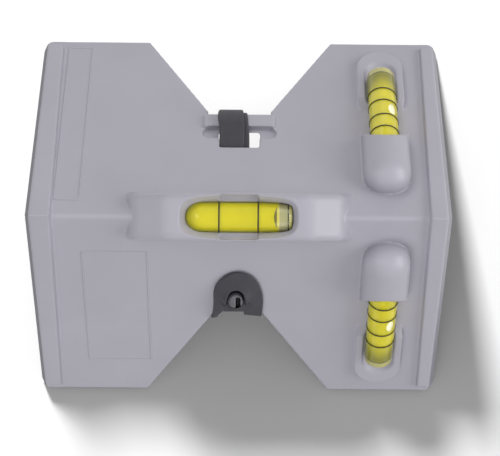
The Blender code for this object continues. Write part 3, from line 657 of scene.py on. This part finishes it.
def makeStrapBar():
    low = angle["notchFloor"] - strapBar["width"]
    half = strapBar["halfLength"]
    outline = rectangle(-half, half, low, angle["notchFloor"])
    base = strapBar["reliefs"][0][2] - angle["wall"]
    bm = bmesh.new()
    skinRings(bm, [[legPoint(1, x, s, n) for x, s in outline] for n in (base, strapBar["rise"])])
    roundEdges(bm, list(bm.edges), strapBar["round"], strapBar["roundSteps"])
    return addMesh("bar", bm)


def strapCuts():
    low = angle["notchFloor"] - strapBar["width"]
    under = strapBar["round"] / 2  # the trough starts under the bar's rounded edge
    bend = (strapBar["troughWidth"] + under) / 2
    middle = low + under - bend
    half = strapBar["halfLength"]
    outline = [(x, s) for s, x in stadium(middle, bend, -half, half, strapBar["troughSteps"])]
    trough = legPrism("trough", 1, outline, -strapBar["troughDepth"], strapBar["rise"])
    top = -strapBar["windowStart"] + overrun
    floor = -strapBar["windowEnd"] - angle["wall"] / slope - overrun
    start, end = strapBar["windowStart"], strapBar["windowEnd"]
    window = xPrism("window", rectangle(start, end, top, floor), strapBar["windowHalf"])
    half, far = strapBar["reliefHalf"], angle["notchFloor"] + overrun
    reliefs = [legPrism("relief", side, rectangle(-half, half, start, far),
                        -angle["wall"] - overrun, depth - angle["wall"])
               for side, start, depth in strapBar["reliefs"]]
    return [trough, window] + reliefs


# Split peg on the lower leg, straight up, that the strap hooks over
peg = {"x": -0.8, "y": -28.5, "radius": 2.7, "top": -21.7, "slit": 1.5, "slitShift": 0.8,
       "slitBack": 1.0, "slitDepth": 6.0, "tip": 1.2, "tipShare": 0.65, "segments": 64}


def hookPeg():
    x, y, radius, top = peg["x"], peg["y"], peg["radius"], peg["top"]
    foot, segments = y - radius - angle["wall"] / 2, peg["segments"]
    rings = [[(x + radius * share * cos(2 * pi * i / segments),
               y + radius * share * sin(2 * pi * i / segments), apexZ + z)
              for i in range(segments)]
             for z, share in ((foot - radius, 1.0), (top - peg["tip"], 1.0),
                              (top, peg["tipShare"]))]
    post = addSkin("peg", rings)
    left, right = peg["slitShift"] - peg["slit"] / 2, peg["slitShift"] + peg["slit"] / 2
    corners = rectangle(left, right, -radius - overrun, peg["slitBack"])
    slit = addSkin("slit", [[(x + a, y + b, apexZ + z) for a, b in corners]
                            for z in (top - peg["slitDepth"], top + overrun)])
    wide = radius + overrun
    inside = angle["wall"] / 2 / slope
    wedge = xPrism("wedge", [(y + wide, y + wide - inside), (y + wide, foot - 3 * wide),
                             (y - wide, foot - 3 * wide), (y - wide, y - wide - inside)],
                   wide + abs(x))
    return cut(post, [slit, wedge])


def cornerFill():
    top = -angle["wall"] / 2 / slope
    low = -angle["wall"] / slope - angle["cornerRelief"]
    relief = angle["cornerRelief"]
    return xPrism("fill", [(0.0, top), (-relief, low), (relief, low)],
                  angle["length"] / 2 - angle["endFlare"])


def softenBody(body):  # one skin of even small faces, eased at every edge, then thinned
    remesh = body.modifiers.new("skin", "REMESH")
    remesh.mode = "VOXEL"
    remesh.voxel_size = angle["voxel"]
    remesh.use_smooth_shade = True
    ease = body.modifiers.new("ease", "SMOOTH")
    ease.factor = 0.5
    ease.iterations = angle["smoothing"]
    applied(body)
    faces = 2 * len(body.data.polygons)
    thin = body.modifiers.new("thin", "DECIMATE")
    thin.ratio = min(1.0, angle["triangles"] / faces)
    applied(body)
    body.data.shade_smooth()


def makeBody():
    body = angleShell()
    cut(body, notchCutters() + cornerCutters())
    additions = [ridgeHousing(), makeStrapBar(), hookPeg(), cornerFill()]
    additions += [plumbHood(side) for side in (1, -1)]
    cut(body, additions, "UNION")
    cut(body, levelPocket() + plumbPocket(1) + plumbPocket(-1) + strapCuts())
    softenBody(body)
    body.data.materials.clear()
    body.data.materials.append(mouldedAbs)
    toMetres(body)
    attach(body, "frame")
    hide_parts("body")
    return body


mouldedAbs = makeMouldedAbs()
strapRubber = makeStrapRubber()
clearAcrylic = makeAcrylic()
vialSpirit = makeVialSpirit()
plumbAir = makeAir("air_bubble", plumbAirFinish)
levelAir = makeAir("air_pocket", levelAirFinish)
plugResin = makePlain("plug_resin", plugFinish)
indexInk = makePlain("index_ink", inkFinish)
print("materials made")

body = makeBody()
print("body made,", len(body.data.polygons), "faces")


def newTree(name, inputs):  # a Geometry Nodes group with named number inputs
    tree = bpy.data.node_groups.new(name, "GeometryNodeTree")
    tree.interface.new_socket("Geometry", in_out="INPUT", socket_type="NodeSocketGeometry")
    tree.interface.new_socket("Geometry", in_out="OUTPUT", socket_type="NodeSocketGeometry")
    for key, (kind, value) in inputs.items():
        socket = tree.interface.new_socket(key, in_out="INPUT", socket_type=kind)
        socket.default_value = value
    return tree, tree.nodes.new("NodeGroupInput").outputs, tree.nodes.new("NodeGroupOutput").inputs


def endTree(tree, out, geometry, material):
    real = addNode(tree, "GeometryNodeRealizeInstances", {"Geometry": geometry})
    dressed = addNode(tree, "GeometryNodeSetMaterial", {
        "Geometry": real.outputs["Geometry"], "Material": material})
    tree.links.new(dressed.outputs["Geometry"], out["Geometry"])
    return tree


def runTree(obj, tree, values):  # sets the named inputs, then keeps the result as a plain mesh
    modifier = obj.modifiers.new(tree.name, "NODES")
    modifier.node_group = tree
    for item in tree.interface.items_tree:
        if item.in_out == "INPUT" and item.name in values:
            modifier[item.identifier] = values[item.name]
    applied(obj)


number, whole = "NodeSocketFloat", "NodeSocketInt"


# Printed bands: a ring round the X axis at each point of the input mesh
def ringTree():
    tree, given, out = newTree("indexRings", {"Radius": (number, 5.0), "Width": (number, 0.6),
                                              "Thickness": (number, 0.15), "Steps": (whole, 96)})
    circle = addNode(tree, "GeometryNodeCurvePrimitiveCircle", {
        "Radius": given["Radius"], "Resolution": given["Steps"]})
    band = addNode(tree, "GeometryNodeCurvePrimitiveQuadrilateral", {
        "Width": given["Thickness"], "Height": given["Width"]})
    ring = addNode(tree, "GeometryNodeCurveToMesh", {
        "Curve": circle.outputs["Curve"], "Profile Curve": band.outputs["Curve"]})
    spread = addNode(tree, "GeometryNodeInstanceOnPoints", {
        "Points": given["Geometry"], "Instance": ring.outputs["Mesh"],
        "Rotation": Euler((0.0, pi / 2, 0.0))})
    return endTree(tree, out, spread.outputs["Instances"], indexInk)


# Raised line: a round bead along the edges of the input mesh
def beadTree(name, material):
    tree, given, out = newTree(name, {"Radius": (number, 0.3), "Steps": (whole, 10)})
    path = addNode(tree, "GeometryNodeMeshToCurve", {"Mesh": given["Geometry"]})
    bead = addNode(tree, "GeometryNodeCurvePrimitiveCircle", {
        "Radius": given["Radius"], "Resolution": given["Steps"]})
    line = addNode(tree, "GeometryNodeCurveToMesh", {
        "Curve": path.outputs["Curve"], "Profile Curve": bead.outputs["Curve"]})
    return endTree(tree, out, line.outputs["Mesh"], material)


# Flat band: the input strip is subdivided, rippled a little and given its thickness
def bandTree():
    tree, given, out = newTree("rubberBand", {"Thickness": (number, 0.8), "Ripple": (number, 0.1),
                                              "Ripple size": (number, 6.0), "Seed": (number, 3.0),
                                              "Levels": (whole, 1)})
    finer = addNode(tree, "GeometryNodeSubdivisionSurface", {
        "Mesh": given["Geometry"], "Level": given["Levels"]})
    normal = addNode(tree, "GeometryNodeInputNormal").outputs["Normal"]
    spot = addNode(tree, "GeometryNodeInputPosition").outputs["Position"]
    pitch = addNode(tree, "ShaderNodeMath", {0: 1.0, 1: given["Ripple size"]}, operation="DIVIDE")
    noise = addNode(tree, "ShaderNodeTexNoise", {
        "Vector": spot, "W": given["Seed"], "Scale": pitch.outputs[0], "Detail": 1.0},
        noise_dimensions="4D")
    centred = addNode(tree, "ShaderNodeMath", {
        0: noise.outputs["Fac"], 1: 0.5}, operation="SUBTRACT")
    swell = addNode(tree, "ShaderNodeMath", {
        0: centred.outputs[0], 1: given["Ripple"]}, operation="MULTIPLY")
    half = addNode(tree, "ShaderNodeMath", {0: given["Thickness"], 1: 0.5}, operation="MULTIPLY")
    shift = addNode(tree, "ShaderNodeMath", {
        0: swell.outputs[0], 1: half.outputs[0]}, operation="SUBTRACT")
    down = addNode(tree, "ShaderNodeVectorMath", {
        0: normal, "Scale": shift.outputs[0]}, operation="SCALE")
    under = addNode(tree, "GeometryNodeSetPosition", {
        "Geometry": finer.outputs["Mesh"], "Offset": down.outputs["Vector"]})
    raised = addNode(tree, "GeometryNodeExtrudeMesh", {
        "Mesh": under.outputs["Geometry"], "Offset Scale": given["Thickness"],
        "Individual": False}, mode="FACES")
    turned = addNode(tree, "GeometryNodeFlipFaces", {"Mesh": under.outputs["Geometry"]})
    both = addNode(tree, "GeometryNodeJoinGeometry")
    tree.links.new(raised.outputs["Mesh"], both.inputs["Geometry"])
    tree.links.new(turned.outputs["Mesh"], both.inputs["Geometry"])
    closed = addNode(tree, "GeometryNodeMergeByDistance", {
        "Geometry": both.outputs["Geometry"], "Distance": 0.001})
    rounded = addNode(tree, "GeometryNodeSubdivisionSurface", {
        "Mesh": closed.outputs["Geometry"], "Level": 1})
    return endTree(tree, out, rounded.outputs["Mesh"], strapRubber)


def finishPiece(obj, bodyName, slotName, *nodes):
    toMetres(obj)
    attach(obj, bodyName)
    if nodes:
        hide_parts(*nodes)


# Label frames: thin moulded lines round a bare field. Each gives its leg's side, then the field's
# left and right, and its start and end down the leg.
labelFrame = {"upper": (1, -61.35, -52.95, 7.55, 84.85),
              "lower": (-1, -52.55, -30.65, 16.95, 72.25),
              "beadRadius": 0.34, "sunk": 0.06, "cornerRadius": 0.5}


def makeLabelFrame(which, tree):
    side, left, right, start, end = labelFrame[which]
    r, steps = labelFrame["cornerRadius"], 4
    corners = ((right - r, end - r, 0.0), (left + r, end - r, pi / 2), (left + r, start + r, pi),
               (right - r, start + r, 3 * pi / 2))
    points = []
    for x, s, turn in corners:
        for i in range(steps + 1):
            a = turn + pi / 2 * i / steps
            points.append(legPoint(side, x + r * cos(a), s + r * sin(a), -labelFrame["sunk"]))
    count = len(points)
    obj = addPoints(which + "_label_frame", points, [(i, (i + 1) % count) for i in range(count)])
    runTree(obj, tree, {"Radius": labelFrame["beadRadius"]})
    obj.data.shade_smooth()
    finishPiece(obj, "frame", "shell")


lineTree = beadTree("raisedLine", mouldedAbs)
for which in ("upper", "lower"):
    makeLabelFrame(which, lineTree)
print("label frames made")

# Vials, sizes in mm along, across and up from each vial's centre
vialLook = {"boreRadius": 4.1, "spiritRadius": 4.14, "plugRadius": 4.14, "levelPlug": 1.2,
            "plumbPlug": 2.7, "plugBevels": (0.2, 0.3), "joint": 0.35, "bubbleProud": 0.04,
            "levelBubble": 4.6, "bubbleGap": 0.15, "meniscus": 1.6,
            "plumbBubble": (7.2, 3.3, 2.6), "plumbBubbleProud": 0.3, "bubbleTurn": 38.0,
            "ringRadius": 5.03, "ringWidth": 0.5, "ringThickness": 0.12,
            "levelRings": (-6.4, 6.4), "plumbRings": (-9.6, -3.6, 3.6, 9.6),
            "endSteps": 20, "bubbleSteps": 32, "bubbleSegments": 48,
            "sharpAngle": 40, "bubbleSharpAngle": 50}


def barrelProfile(length):
    half, radius, corner = length / 2, vial["radius"], vial["corner"]
    bore, steps = vialLook["boreRadius"], vialLook["endSteps"]
    outer = arc(-half + radius, radius, pi, pi / 2, steps)
    rim = [(half - corner + corner * sin(a), radius - corner + corner * cos(a))
           for a in (0.0, pi / 12, pi / 6, pi / 4, pi / 3)]
    inner = arc(-half + radius, bore, pi / 2, pi, steps)
    return outer + rim + [(half, bore)] + inner


def plugProfile(start, end):
    radius = vialLook["plugRadius"]
    near, far = vialLook["plugBevels"]
    return [(start, 0.0), (start, radius - near), (start + near, radius), (end - far, radius),
            (end, radius - far), (end, 0.0)]


def makeVial(prefix, kind, place, matrix, bubble, bubbleBody):
    length, rings = vial[kind + "Length"], vialLook[kind + "Rings"]
    half, spirit, sharp = length / 2, vialLook["spiritRadius"], vialLook["sharpAngle"]
    start = half - vialLook[kind + "Plug"]
    last = start - vialLook["joint"]
    tube = lathe(prefix + "_tube", barrelProfile(length), place, clearAcrylic, sharp=sharp)
    plug = lathe(prefix + "_end_plug", plugProfile(start, half), place, plugResin, sharp=sharp)
    closed = arc(-half + vial["radius"], spirit, pi, pi / 2, vialLook["endSteps"])
    fluid = lathe(prefix + "_spirit", closed + [(last, spirit), (last, 0.0)], place, vialSpirit,
                  sharp=sharp)
    if kind == "plumb":  # a dark joint shows between spirit and plug
        seam = lathe(prefix + "_seam", [(last, 0.0), (last, spirit), (start, spirit), (start, 0.0)],
                     place, indexInk, sharp=sharp)
        finishPiece(seam, "frame", "ink")
    bands = addPoints(prefix + "_index_rings", [(offset, 0.0, 0.0) for offset in rings], [])
    runTree(bands, printTree, {"Radius": vialLook["ringRadius"], "Width": vialLook["ringWidth"],
                               "Thickness": vialLook["ringThickness"]})
    bands.data.transform(matrix)
    finishPiece(tube, "frame", "acrylic", prefix + "_barrel")
    finishPiece(plug, "frame", "acrylic", prefix + "_plug")
    finishPiece(fluid, "frame", "fluid", prefix + "_fluid")
    finishPiece(bands, "frame", "ink",
                *[f"{prefix}_ring_{i + 1}" for i in range(len(rings))])
    finishPiece(bubble, bubbleBody, "bubble", prefix + "_bubble")


def makeLevelVial():
    right = vial["levelLength"] / 2 - vialLook["levelPlug"] - vialLook["bubbleGap"]
    left = right - vialLook["levelBubble"]
    radius = vialLook["spiritRadius"] + vialLook["bubbleProud"]

    def rounded(along, across, up):  # the bubble's left face bulges to the left
        bulge = vialLook["meniscus"] * (across / radius) ** 2 if along < right else 0.0
        return levelPoint(along + bulge, across, up)

    bubble = lathe("level_vial_air", [(left, 0.0), (left, radius), (right, radius), (right, 0.0)],
                   rounded, levelAir, sharp=vialLook["bubbleSharpAngle"])
    matrix = Matrix.Translation(levelPoint(0.0, 0.0, 0.0))
    makeVial("level_vial", "level", levelPoint, matrix, bubble, "level_bubble")


def makePlumbVial(leg, side):
    prefix, place = leg + "_plumb_vial", plumbPoint(side)
    length, width, depth = vialLook["plumbBubble"]
    turn = radians(vialLook["bubbleTurn"])
    centre = vialLook["spiritRadius"] + vialLook["plumbBubbleProud"] - depth / 2

    def inside(along, across, up):  # the bubble lies against the tube, turned towards the right
        out, beside = centre + up * depth / length, across * width / length
        return place(along, out * sin(turn) + beside * cos(turn),
                     out * cos(turn) - beside * sin(turn))

    bubble = lathe(prefix + "_air", arc(0.0, length / 2, pi, 0.0, vialLook["bubbleSteps"]),
                   inside, plumbAir, segments=vialLook["bubbleSegments"])
    columns = [Vector((0.0, side * slope, -slope)), Vector((1.0, 0.0, 0.0)),
               Vector((0.0, side * slope, slope))]
    matrix = Matrix.Translation(place(0.0, 0.0, 0.0)) @ Matrix(columns).transposed().to_4x4()
    makeVial(prefix, "plumb", place, matrix, bubble, leg + "_bubble")


printTree = ringTree()
makeLevelVial()
makePlumbVial("upper", 1)
makePlumbVial("lower", -1)
print("vials made")

# Rubber strap, sizes in mm; stations give both edges, z from the ridge line, in order: the
# tucked fold, the outer layer over the bar, the left strand across the inside, the hood round
# the peg, the right strand back and the inner layer over the bar
strap = {"thickness": 0.8, "ripple": 0.12, "rippleSize": 5.0,
         "columns": 6, "between": 3,  # faces across the band and from station to station
         "collar": {"inner": 2.8, "outer": 5.5, "top": -24.4, "edge": -32.4,
                    "lift": 0.1, "least": 0.6, "segments": 64},  # lift and least height off the leg
         "collarSharpAngle": 50,
         "hood": (21, 31),  # the stations that its rims run between
         "rims": {"strap_inner_rim": (0.93, 0.5), "strap_outer_rim": (0.42, 0.28)}}
strapRoute = [
    ((-6.0, 28.27, -31.87), (2.6, 28.27, -31.87)),
    ((-6.6, 28.4, -32.9), (2.1, 28.4, -32.9)),
    ((-6.9, 29.8, -34.2), (1.8, 29.8, -34.2)),
    ((-6.9, 31.81, -36.19), (1.8, 31.81, -36.19)),
    ((-6.9, 34.0, -36.9), (1.6, 34.0, -36.9)),
    ((-6.9, 36.0, -36.0), (1.3, 36.0, -36.0)),
    ((-7.0, 36.65, -34.0), (1.2, 36.65, -34.0)),
    ((-7.45, 35.8, -31.5), (1.5, 35.8, -31.5)),
    ((-7.4, 33.16, -28.64), (1.6, 33.16, -28.64)),
    ((-6.9, 31.5, -27.7), (1.8, 31.5, -27.7)),
    ((-6.9, 27.5, -26.95), (1.8, 27.5, -26.95)),
    ((-6.9, 23.6, -26.35), (1.8, 23.6, -26.35)),
    ((-6.9, 20.0, -26.95), (1.8, 20.0, -26.95)),
    ((-7.2, 10.0, -28.7), (1.3, 10.0, -28.7)),
    ((-7.7, -2.0, -30.85), (0.3, -2.0, -30.8)),
    ((-8.3, -16.0, -33.5), (-1.6, -16.0, -33.0)),
    ((-8.6, -26.0, -35.8), (-3.4, -26.0, -34.7)),
    ((-8.8, -30.0, -36.3), (-4.8, -29.6, -35.3)),
    ((-9.0, -32.4, -36.3), (-6.0, -31.8, -35.6)),
    ((-9.15, -34.3, -35.4), (-6.8, -33.7, -34.9)),
    ((-9.2, -34.95, -33.9), (-7.0, -34.4, -33.4)),
    ((-8.9, -33.9, -32.2), (-6.7, -33.4, -31.4)),
    ((-8.4, -31.2, -29.6), (-4.6, -31.6, -26.9)),
    ((-8.3, -28.0, -26.7), (-4.1, -28.9, -22.4)),
    ((-8.1, -24.1, -22.9), (-3.3, -26.6, -21.6)),
    ((-4.4, -20.1, -18.9), (-2.2, -25.5, -21.5)),
    ((0.0, -18.7, -17.5), (-0.7, -25.1, -21.4)),
    ((4.4, -20.1, -18.9), (0.8, -25.5, -21.5)),
    ((7.0, -23.3, -22.1), (1.9, -26.6, -21.6)),
    ((8.3, -27.3, -26.1), (2.5, -28.9, -22.4)),
    ((8.5, -30.0, -28.8), (2.5, -31.0, -26.6)),
    ((8.35, -32.95, -31.3), (2.2, -32.6, -30.6)),
    ((8.2, -34.1, -33.0), (2.0, -33.5, -32.5)),
    ((8.2, -33.9, -34.9), (2.0, -33.3, -34.2)),
    ((8.3, -32.3, -36.1), (2.0, -31.8, -35.2)),
    ((8.4, -30.2, -36.6), (1.9, -29.6, -35.4)),
    ((8.5, -26.0, -38.2), (1.3, -26.0, -34.2)),
    ((4.9, -21.0, -39.3), (3.5, -21.0, -31.1)),
    ((0.6, -16.0, -37.4), (6.6, -16.0, -31.4)),
    ((-1.2, -10.0, -34.0), (7.2, -10.0, -32.8)),
    ((-2.2, -2.0, -32.0), (6.2, -2.0, -31.95)),
    ((-3.9, 10.0, -29.8), (4.6, 10.0, -29.8)),
    ((-5.0, 20.0, -28.05), (3.6, 20.0, -28.05)),
    ((-5.2, 23.6, -27.45), (3.5, 23.6, -27.45)),
    ((-5.2, 27.5, -28.05), (3.5, 27.5, -28.05)),
    ((-5.2, 31.1, -28.8), (3.2, 31.1, -28.8)),
    ((-5.2, 32.38, -29.42), (3.05, 32.38, -29.42)),
    ((-5.2, 35.1, -32.35), (2.8, 35.1, -32.35)),
    ((-5.2, 35.6, -34.0), (2.7, 35.6, -34.0)),
    ((-5.2, 35.1, -35.2), (3.0, 35.1, -35.2)),
    ((-5.2, 34.0, -36.0), (3.5, 34.0, -36.0)),
    ((-5.2, 32.59, -35.41), (3.5, 32.59, -35.41)),
    ((-5.2, 30.6, -33.4), (3.5, 30.6, -33.4)),
    ((-5.4, 29.2, -32.0), (3.2, 29.2, -32.0)),
]


def smoothRoute():  # a cubic through each four stations in turn, both edges at once
    stations = [list(a + b) for a, b in strapRoute]
    count = len(stations)
    route = []
    for i in range(count):
        near = [stations[(i + k - 1) % count] for k in range(4)]
        t = [0.0]
        for a, b in zip(near, near[1:]):
            t.append(t[-1] + sqrt(sqrt(sum((u - v) ** 2 for u, v in zip(a, b)))))
        for k in range(strap["between"]):
            x = t[1] + (t[2] - t[1]) * k / strap["between"]
            level = near
            for width in (1, 2, 3):
                step = []
                for j in range(len(level) - 1):
                    f = (x - t[j]) / (t[j + width] - t[j])
                    step.append([u + (v - u) * f for u, v in zip(level[j], level[j + 1])])
                level = step
            route.append((Vector(level[0][:3]), Vector(level[0][3:])))
    return route


def makeStrap():
    bm = bmesh.new()
    rows, columns = [], strap["columns"]
    for a, b in smoothRoute():
        rows.append([bm.verts.new(a.lerp(b, k / columns) + ridgeLift) for k in range(columns + 1)])
    for a, b in zip(rows, rows[1:] + rows[:1]):
        for k in range(columns):
            bm.faces.new((a[k], a[k + 1], b[k + 1], b[k]))
    obj = addMesh("strap_band", bm, strapRubber)
    runTree(obj, bandTree(), {"Thickness": strap["thickness"], "Ripple": strap["ripple"],
                              "Ripple size": strap["rippleSize"]})
    obj.data.shade_smooth()
    finishPiece(obj, "frame", "rubber", "rubber_strap")


def makeHoodRim(name, tree):  # a moulded bead that follows the hood round the peg
    share, radius = strap["rims"][name]  # share of the way across the band
    first, last = [k * strap["between"] for k in strap["hood"]]
    points = [a.lerp(b, share) + ridgeLift for a, b in smoothRoute()[first:last + 1]]
    obj = addPoints(name, points, [(i, i + 1) for i in range(len(points) - 1)])
    runTree(obj, tree, {"Radius": radius})
    obj.data.shade_smooth()
    finishPiece(obj, "frame", "rubber")


def makeStrapCollar():  # the tab's rubber between the hood and the peg, lying on the leg
    collar = strap["collar"]
    inner, outer, segments = collar["inner"], collar["outer"], collar["segments"]

    def ring(radius, height):
        points = []
        for i in range(segments):
            a = 2 * pi * i / segments
            y = max(peg["y"] + radius * sin(a), collar["edge"])
            points.append((peg["x"] + radius * cos(a), y, apexZ + height(y)))
        return points

    def onLeg(y):
        return y + collar["lift"]

    def onTop(y):
        return max(collar["top"], y + collar["least"])

    tab = addSkin("strap_collar", [ring(outer, onLeg), ring(outer, onTop), ring(inner, onTop),
                                   ring(inner, onLeg)],
                  strapRubber, sharp=strap["collarSharpAngle"], loop=True)
    finishPiece(tab, "frame", "rubber")


makeStrap()
makeStrapCollar()
rimTree = beadTree("rubberBead", strapRubber)
for name in strap["rims"]:
    makeHoodRim(name, rimTree)
print("strap made")

# Camera matched to the photograph: place in mm from the ridge line, turn in radians
cameraFit = {"place": (1.155, 3.661, 621.6), "turn": (0.01158, 0.00424, -0.00816),
             "lens": 136.2, "sensor": 36.0, "clipStart": 10.0}


def makeCamera():
    data = bpy.data.cameras.new("photo_camera")
    data.sensor_width = cameraFit["sensor"]
    data.lens = cameraFit["lens"]
    data.clip_start = cameraFit["clipStart"] * mm
    obj = addObject("photo_camera", data)
    x, y, z = cameraFit["turn"]
    turn = Matrix.Rotation(z, 4, "Z") @ Matrix.Rotation(y, 4, "Y") @ Matrix.Rotation(x, 4, "X")
    place = Vector(cameraFit["place"]) + ridgeLift
    obj.matrix_world = Matrix.Translation(place * mm) @ turn.transposed()
    bpy.context.scene.camera = obj


# Studio softboxes: size and place in mm, power in watts; mirrored says if gloss shows them, and
# paper if they light the paper sweep alone (INCLUDE) or all but it (EXCLUDE)
studio = {
    "right": {"size": (800, 420), "place": (620, 40, 400), "power": 3.8, "mirrored": True,
              "paper": "EXCLUDE"},
    "left": {"size": (420, 420), "place": (-300, 60, 700), "power": 0.8, "mirrored": True,
             "paper": "EXCLUDE"},
    "front": {"size": (420, 420), "place": (-150, -600, 430), "power": 2.45, "mirrored": False,
              "paper": "EXCLUDE"},
    "back": {"size": (420, 420), "place": (-180, 600, 430), "power": 2.0, "mirrored": False,
             "paper": "EXCLUDE"},
    "sweep": {"size": (180, 180), "place": (-255, 960, 870), "power": 22.4, "mirrored": False,
              "paper": "INCLUDE"},
    "fill": {"size": (420, 420), "place": (-100, -600, 480), "power": 0.6, "mirrored": False,
             "paper": "INCLUDE"},
}
lampAim = (0.0, 0.0, 35.0)
worldLight = 0.3
paper = {"half": 1500.0, "roughness": 0.9,
         "seen": 0.9, "bounce": 0.18}  # its white as it is seen, and as it lights the object


def makeLamp(name, paperSheet):
    facts = studio[name]
    data = bpy.data.lights.new(name + "_softbox", "AREA")
    data.shape = "RECTANGLE"
    data.size, data.size_y = [side * mm for side in facts["size"]]
    data.energy = facts["power"]
    obj = addObject(name + "_softbox", data)
    obj.visible_glossy = facts["mirrored"]
    place = Vector(facts["place"])
    aim = Vector(lampAim) - place
    obj.matrix_world = Matrix.LocRotScale(place * mm, aim.to_track_quat("-Z", "Y"), None)
    lit = bpy.data.collections.new(name + "_receivers")
    lit.objects.link(paperSheet)
    obj.light_linking.receiver_collection = lit
    lit.collection_objects[0].light_linking.link_state = facts["paper"]


def seenDirectly(tree):  # 1 for the camera's own, mirrored and refracted rays
    path = addNode(tree, "ShaderNodeLightPath").outputs
    seen = addNode(tree, "ShaderNodeMath", {
        0: path["Is Camera Ray"], 1: path["Is Glossy Ray"]}, operation="MAXIMUM")
    return addNode(tree, "ShaderNodeMath", {
        0: seen.outputs[0], 1: path["Is Transmission Ray"]}, operation="MAXIMUM").outputs[0]


def makeWorld():
    world = bpy.data.worlds.new("studio")
    bpy.context.scene.world = world
    world.use_nodes = True
    tree = world.node_tree
    tree.nodes.clear()
    strength = addNode(tree, "ShaderNodeMapRange", {
        "Value": seenDirectly(tree), "To Min": worldLight, "To Max": 1.0})
    back = addNode(tree, "ShaderNodeBackground", {
        "Color": (1.0, 1.0, 1.0, 1.0), "Strength": strength.outputs["Result"]})
    addNode(tree, "ShaderNodeOutputWorld", {"Surface": back.outputs["Background"]})


def makeFloor():
    material, tree, shader = newMaterial("white_paper_sweep")
    colour = addNode(tree, "ShaderNodeMapRange", {
        "Value": seenDirectly(tree), "To Min": paper["bounce"], "To Max": paper["seen"]})
    setInputs(tree, shader, {"Base Color": colour.outputs["Result"],
                             "Roughness": paper["roughness"], "Specular IOR Level": 0.0})
    bm = bmesh.new()
    bmesh.ops.create_grid(bm, x_segments=1, y_segments=1, size=paper["half"])
    floor = addMesh("paper_sweep", bm, material)
    toMetres(floor)
    return floor


makeCamera()
makeWorld()
floor = makeFloor()
for name in studio:
    makeLamp(name, floor)
bpy.context.scene.view_settings.view_transform = "Standard"
print("studio made")
